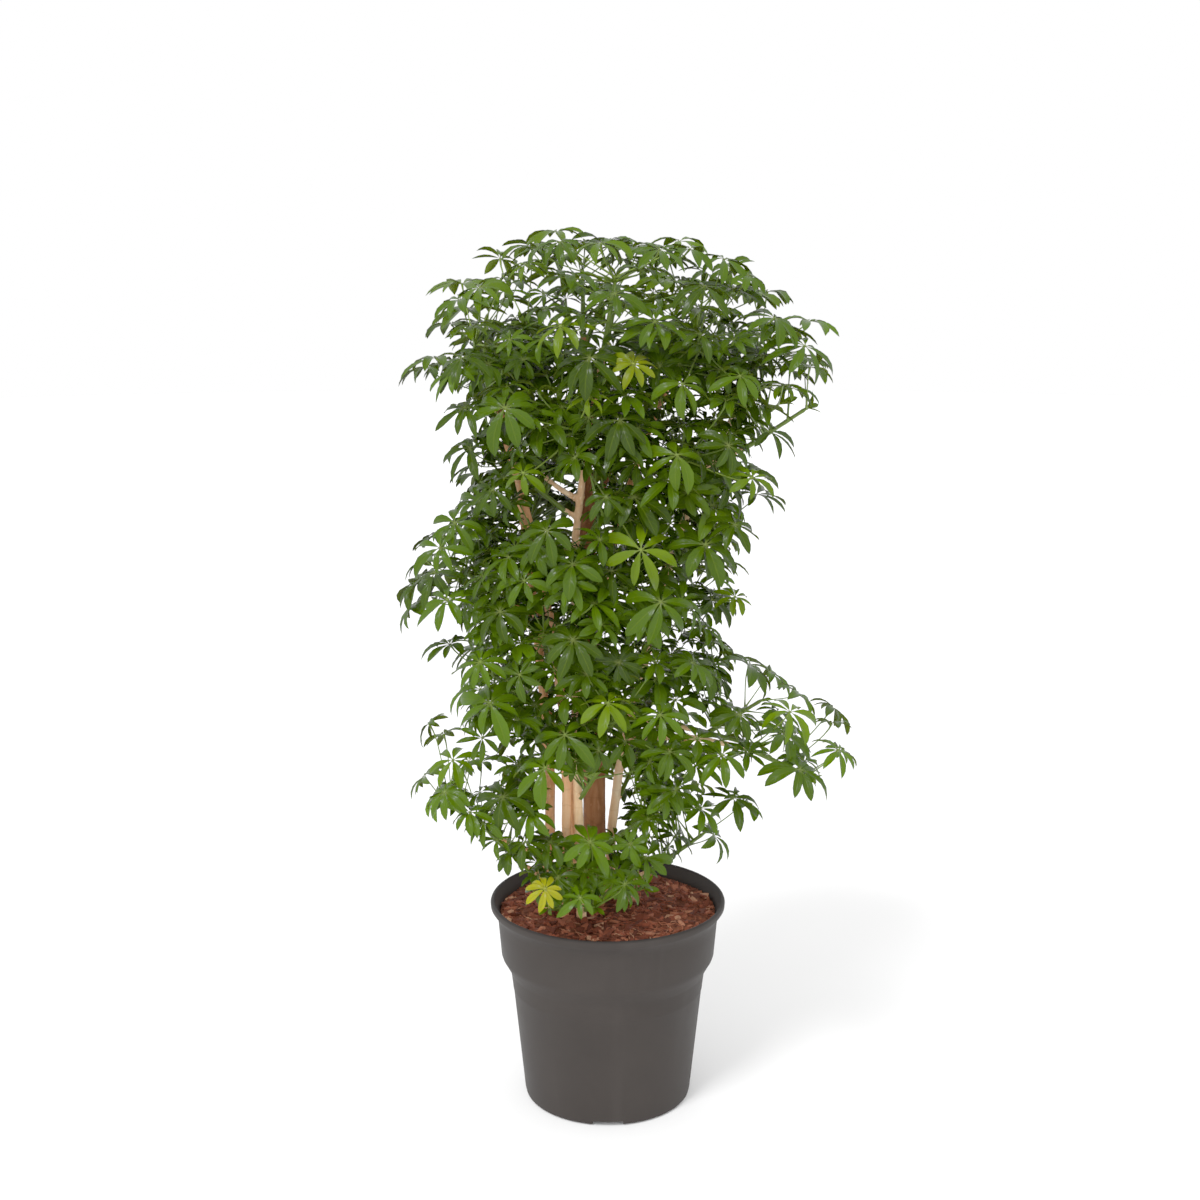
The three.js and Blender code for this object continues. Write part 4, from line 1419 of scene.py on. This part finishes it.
def add_leaf(heap, leaf, age, tone):
    count = chance.choice(LEAFLETS)
    start = chance.uniform(0, 2 * math.pi)
    broad = float(np.interp(leaf.hub.z, *NARROWER)) * chance.uniform(0.84, 1.08)
    for k in range(count):
        angle = start + 2 * math.pi * k / count + chance.uniform(-0.15, 0.15)
        points = bent_leaflet(
            leaf,
            angle,
            chance.uniform(*ARCH),
            broad * chance.uniform(0.92, 1.08),
            chance.uniform(-0.75, 0.75),
            chance.uniform(-0.2, 0.2),
            chance.uniform(0.8, 1.04),
        )
        own_tone = tone + chance.uniform(-0.12, 0.12)
        heap.add(points, LEAFLET_FACES, LEAFLET_SLOTS, LEAFLET_UV, age=age, tone=own_tone)
    points, faces = stalk_of(leaf)
    heap.add(points, faces, STALK_SLOT, age=age, tone=tone)


# %% [markdown]
# ## The leaf's finish
#
# The upper face is glossy and a clear mid green, darker on old leaves and lime on new ones. The midrib and
# a few side veins are paler. The underside is duller and greyer. Light also comes through a blade, which
# is why a crown lit from above glows yellow-green at its edges.

# %% Leaf materials
def leaf_colours(paint, dark, mid, lime, yellow):
    age = paint.attribute("age")
    tone = paint.attribute("tone")
    cloud = paint.noise(70, 3)
    value = paint.math("ADD", age, paint.math("MULTIPLY", paint.math("SUBTRACT", cloud, 0.5), 0.16))
    colour = paint.ramp(value, (0.0, dark), (0.42, mid), (0.8, lime), (1.0, yellow))
    light = paint.spread(tone, 0.0, 1.5, 0.6, 1.95)
    grey = paint.node("ShaderNodeCombineColor", Red=light, Green=light, Blue=light).outputs[0]
    return paint.mix(1.0, colour, grey, "MULTIPLY")


def vein_mask(paint):
    """Pale midrib, and side veins that leave it at a slant, from the leaflet's own map."""
    leaf_map = paint.node("ShaderNodeUVMap", {"uv_map": "leaf_map"}).outputs[0]
    uv = paint.node("ShaderNodeSeparateXYZ", Vector=leaf_map)
    off = paint.math("ABSOLUTE", paint.math("SUBTRACT", uv.outputs["X"], 0.5))
    midrib = paint.spread(off, 0.02, 0.07, 1, 0)
    slant = paint.math("SUBTRACT", uv.outputs["Y"], paint.math("MULTIPLY", off, 0.35))
    comb = paint.math("FRACT", paint.math("MULTIPLY", slant, 9.0))
    side = paint.spread(paint.math("ABSOLUTE", paint.math("SUBTRACT", comb, 0.5)), 0.0, 0.12, 1, 0)
    return midrib, side, uv.outputs["Y"]


HUB_SPOT = (0.3, 0.36, 0.08)  # leaflets are paler at their base


def leaf_finish(name, colours, rib, rough, ridges):
    paint = Paint(name)
    colour = leaf_colours(paint, *colours)
    midrib, side, along = vein_mask(paint)
    base = paint.spread(along, 0.02, 0.3, 1, 0)
    colour = paint.mix(paint.math("MULTIPLY", side, 0.12), colour, rib)
    colour = paint.mix(paint.math("MULTIPLY", midrib, 0.24), colour, rib)
    colour = paint.mix(paint.math("MULTIPLY", base, 0.5), colour, HUB_SPOT)
    ridge = paint.math("ADD", midrib, paint.math("MULTIPLY", side, 0.4))
    paint.wear(
        Base_Color=colour,
        Roughness=rough,
        Specular_IOR_Level=0.15,
        Normal=paint.bump(ridge, ridges, 0.0006),
    )
    through = paint.node("ShaderNodeBsdfTranslucent", Color=colour)
    blend = paint.node("ShaderNodeMixShader")
    paint.feed(blend.inputs[0], 0.45)
    paint.feed(blend.inputs[1], paint.shader.outputs[0])
    paint.feed(blend.inputs[2], through.outputs[0])
    output = paint.tree.nodes["Material Output"]
    paint.feed(output.inputs["Surface"], blend.outputs[0])
    return paint.material


# Each finish in its four ages: old, grown, young and yellow.
TOP_COLOURS = ((0.024, 0.051, 0.0002), (0.051, 0.112, 0.0004), (0.115, 0.195, 0.001), (0.27, 0.255, 0.003))
UNDER_COLOURS = ((0.06, 0.092, 0.003), (0.082, 0.126, 0.004), (0.145, 0.212, 0.005), (0.25, 0.245, 0.008))
STALK_COLOURS = ((0.05, 0.09, 0.008), (0.09, 0.15, 0.012), (0.15, 0.22, 0.02), (0.24, 0.25, 0.03))
leaf_top = leaf_finish("leaf_upper_face", TOP_COLOURS, (0.14, 0.22, 0.006), 0.2, 0.4)
leaf_under = leaf_finish("leaf_underside", UNDER_COLOURS, (0.17, 0.23, 0.025), 0.55, 0.3)


def stalk_finish():
    paint = Paint("green_stalks")
    colour = leaf_colours(paint, *STALK_COLOURS)
    fleck = paint.spread(paint.noise(230, 2), 0.58, 0.7, 0, 0.4)
    flecked = paint.mix(fleck, colour, (0.17, 0.19, 0.05))
    return paint.wear(Base_Color=flecked, Roughness=0.45, Specular_IOR_Level=0.2)


stalk_green = stalk_finish()

# %% [markdown]
# ## The foliage
#
# Now every shoot gets its spray: stem, stalks, leaves and the tuft at its bud, joined in one mesh that
# stands for the solid. Age sets the colour. Leaves near the bud and at the top of the crown are younger.

# %% Ages and sprays
# Painted light: low leaves get a lighter tone, which lifts the shade that the crown casts on them.
LOW_LEAVES_PAINTED_LIGHTER = ((0.45, 0.95), (0.45, 0.0))  # heights, and how much is added to the tone of the leaves there
SHOOT_LOOK = {"age": 0.3, "tone": 0.5}
YOUNG_LOOK = {"age": 0.62, "tone": 0.6}


def age_of(leaf, shoot):
    """A leaf's own age, or one that is younger near the bud and near the plant's top."""
    if leaf.age is not None:
        return leaf.age
    share = (leaf.foot - shoot.base).dot(shoot.axis) / (shoot.bud - shoot.base).length
    high = min(1, max(0, (leaf.hub.z - 1.0) / 0.24))
    return 0.1 + 0.2 * share + 0.16 * high + chance.uniform(-0.14, 0.22)


def grow_spray(shoot):
    heap = Heap()
    points, faces = shoot_body(shoot)
    heap.add(points, faces, STALK_SLOT, **SHOOT_LOOK)
    for leaf in shoot.leaves:
        tone = chance.uniform(0.0, 1.0) if leaf.tone is None else leaf.tone
        # painted light: the lower a leaf hangs, the more its tone is raised
        paler = float(np.interp(leaf.hub.z, *LOW_LEAVES_PAINTED_LIGHTER))
        add_leaf(heap, leaf, age_of(leaf, shoot), tone + paler)
    tuft = young_tuft(shoot)
    for k in range(YOUNG_LEAFLETS):
        arch, width = chance.uniform(0.1, 0.3), chance.uniform(0.8, 1.1)
        young = bent_leaflet(tuft, k * 1.57 + chance.uniform(-0.3, 0.3), arch, width, 0.2, 0.0)
        heap.add(young, LEAFLET_FACES, LEAFLET_SLOTS, LEAFLET_UV, **YOUNG_LOOK)
    spray = heap.piece([leaf_top, leaf_under, stalk_green])
    smooth(spray, 70)
    number = shoot.name.rsplit("_", 1)[1]
    finish_piece(spray, "spray_" + number, "leaf", shoot.name)


for shoot in shoots:
    grow_spray(shoot)

# %% The last line: count the faces of the scene
total = sum(len(o.data.polygons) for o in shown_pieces())
print(total, "faces in all")
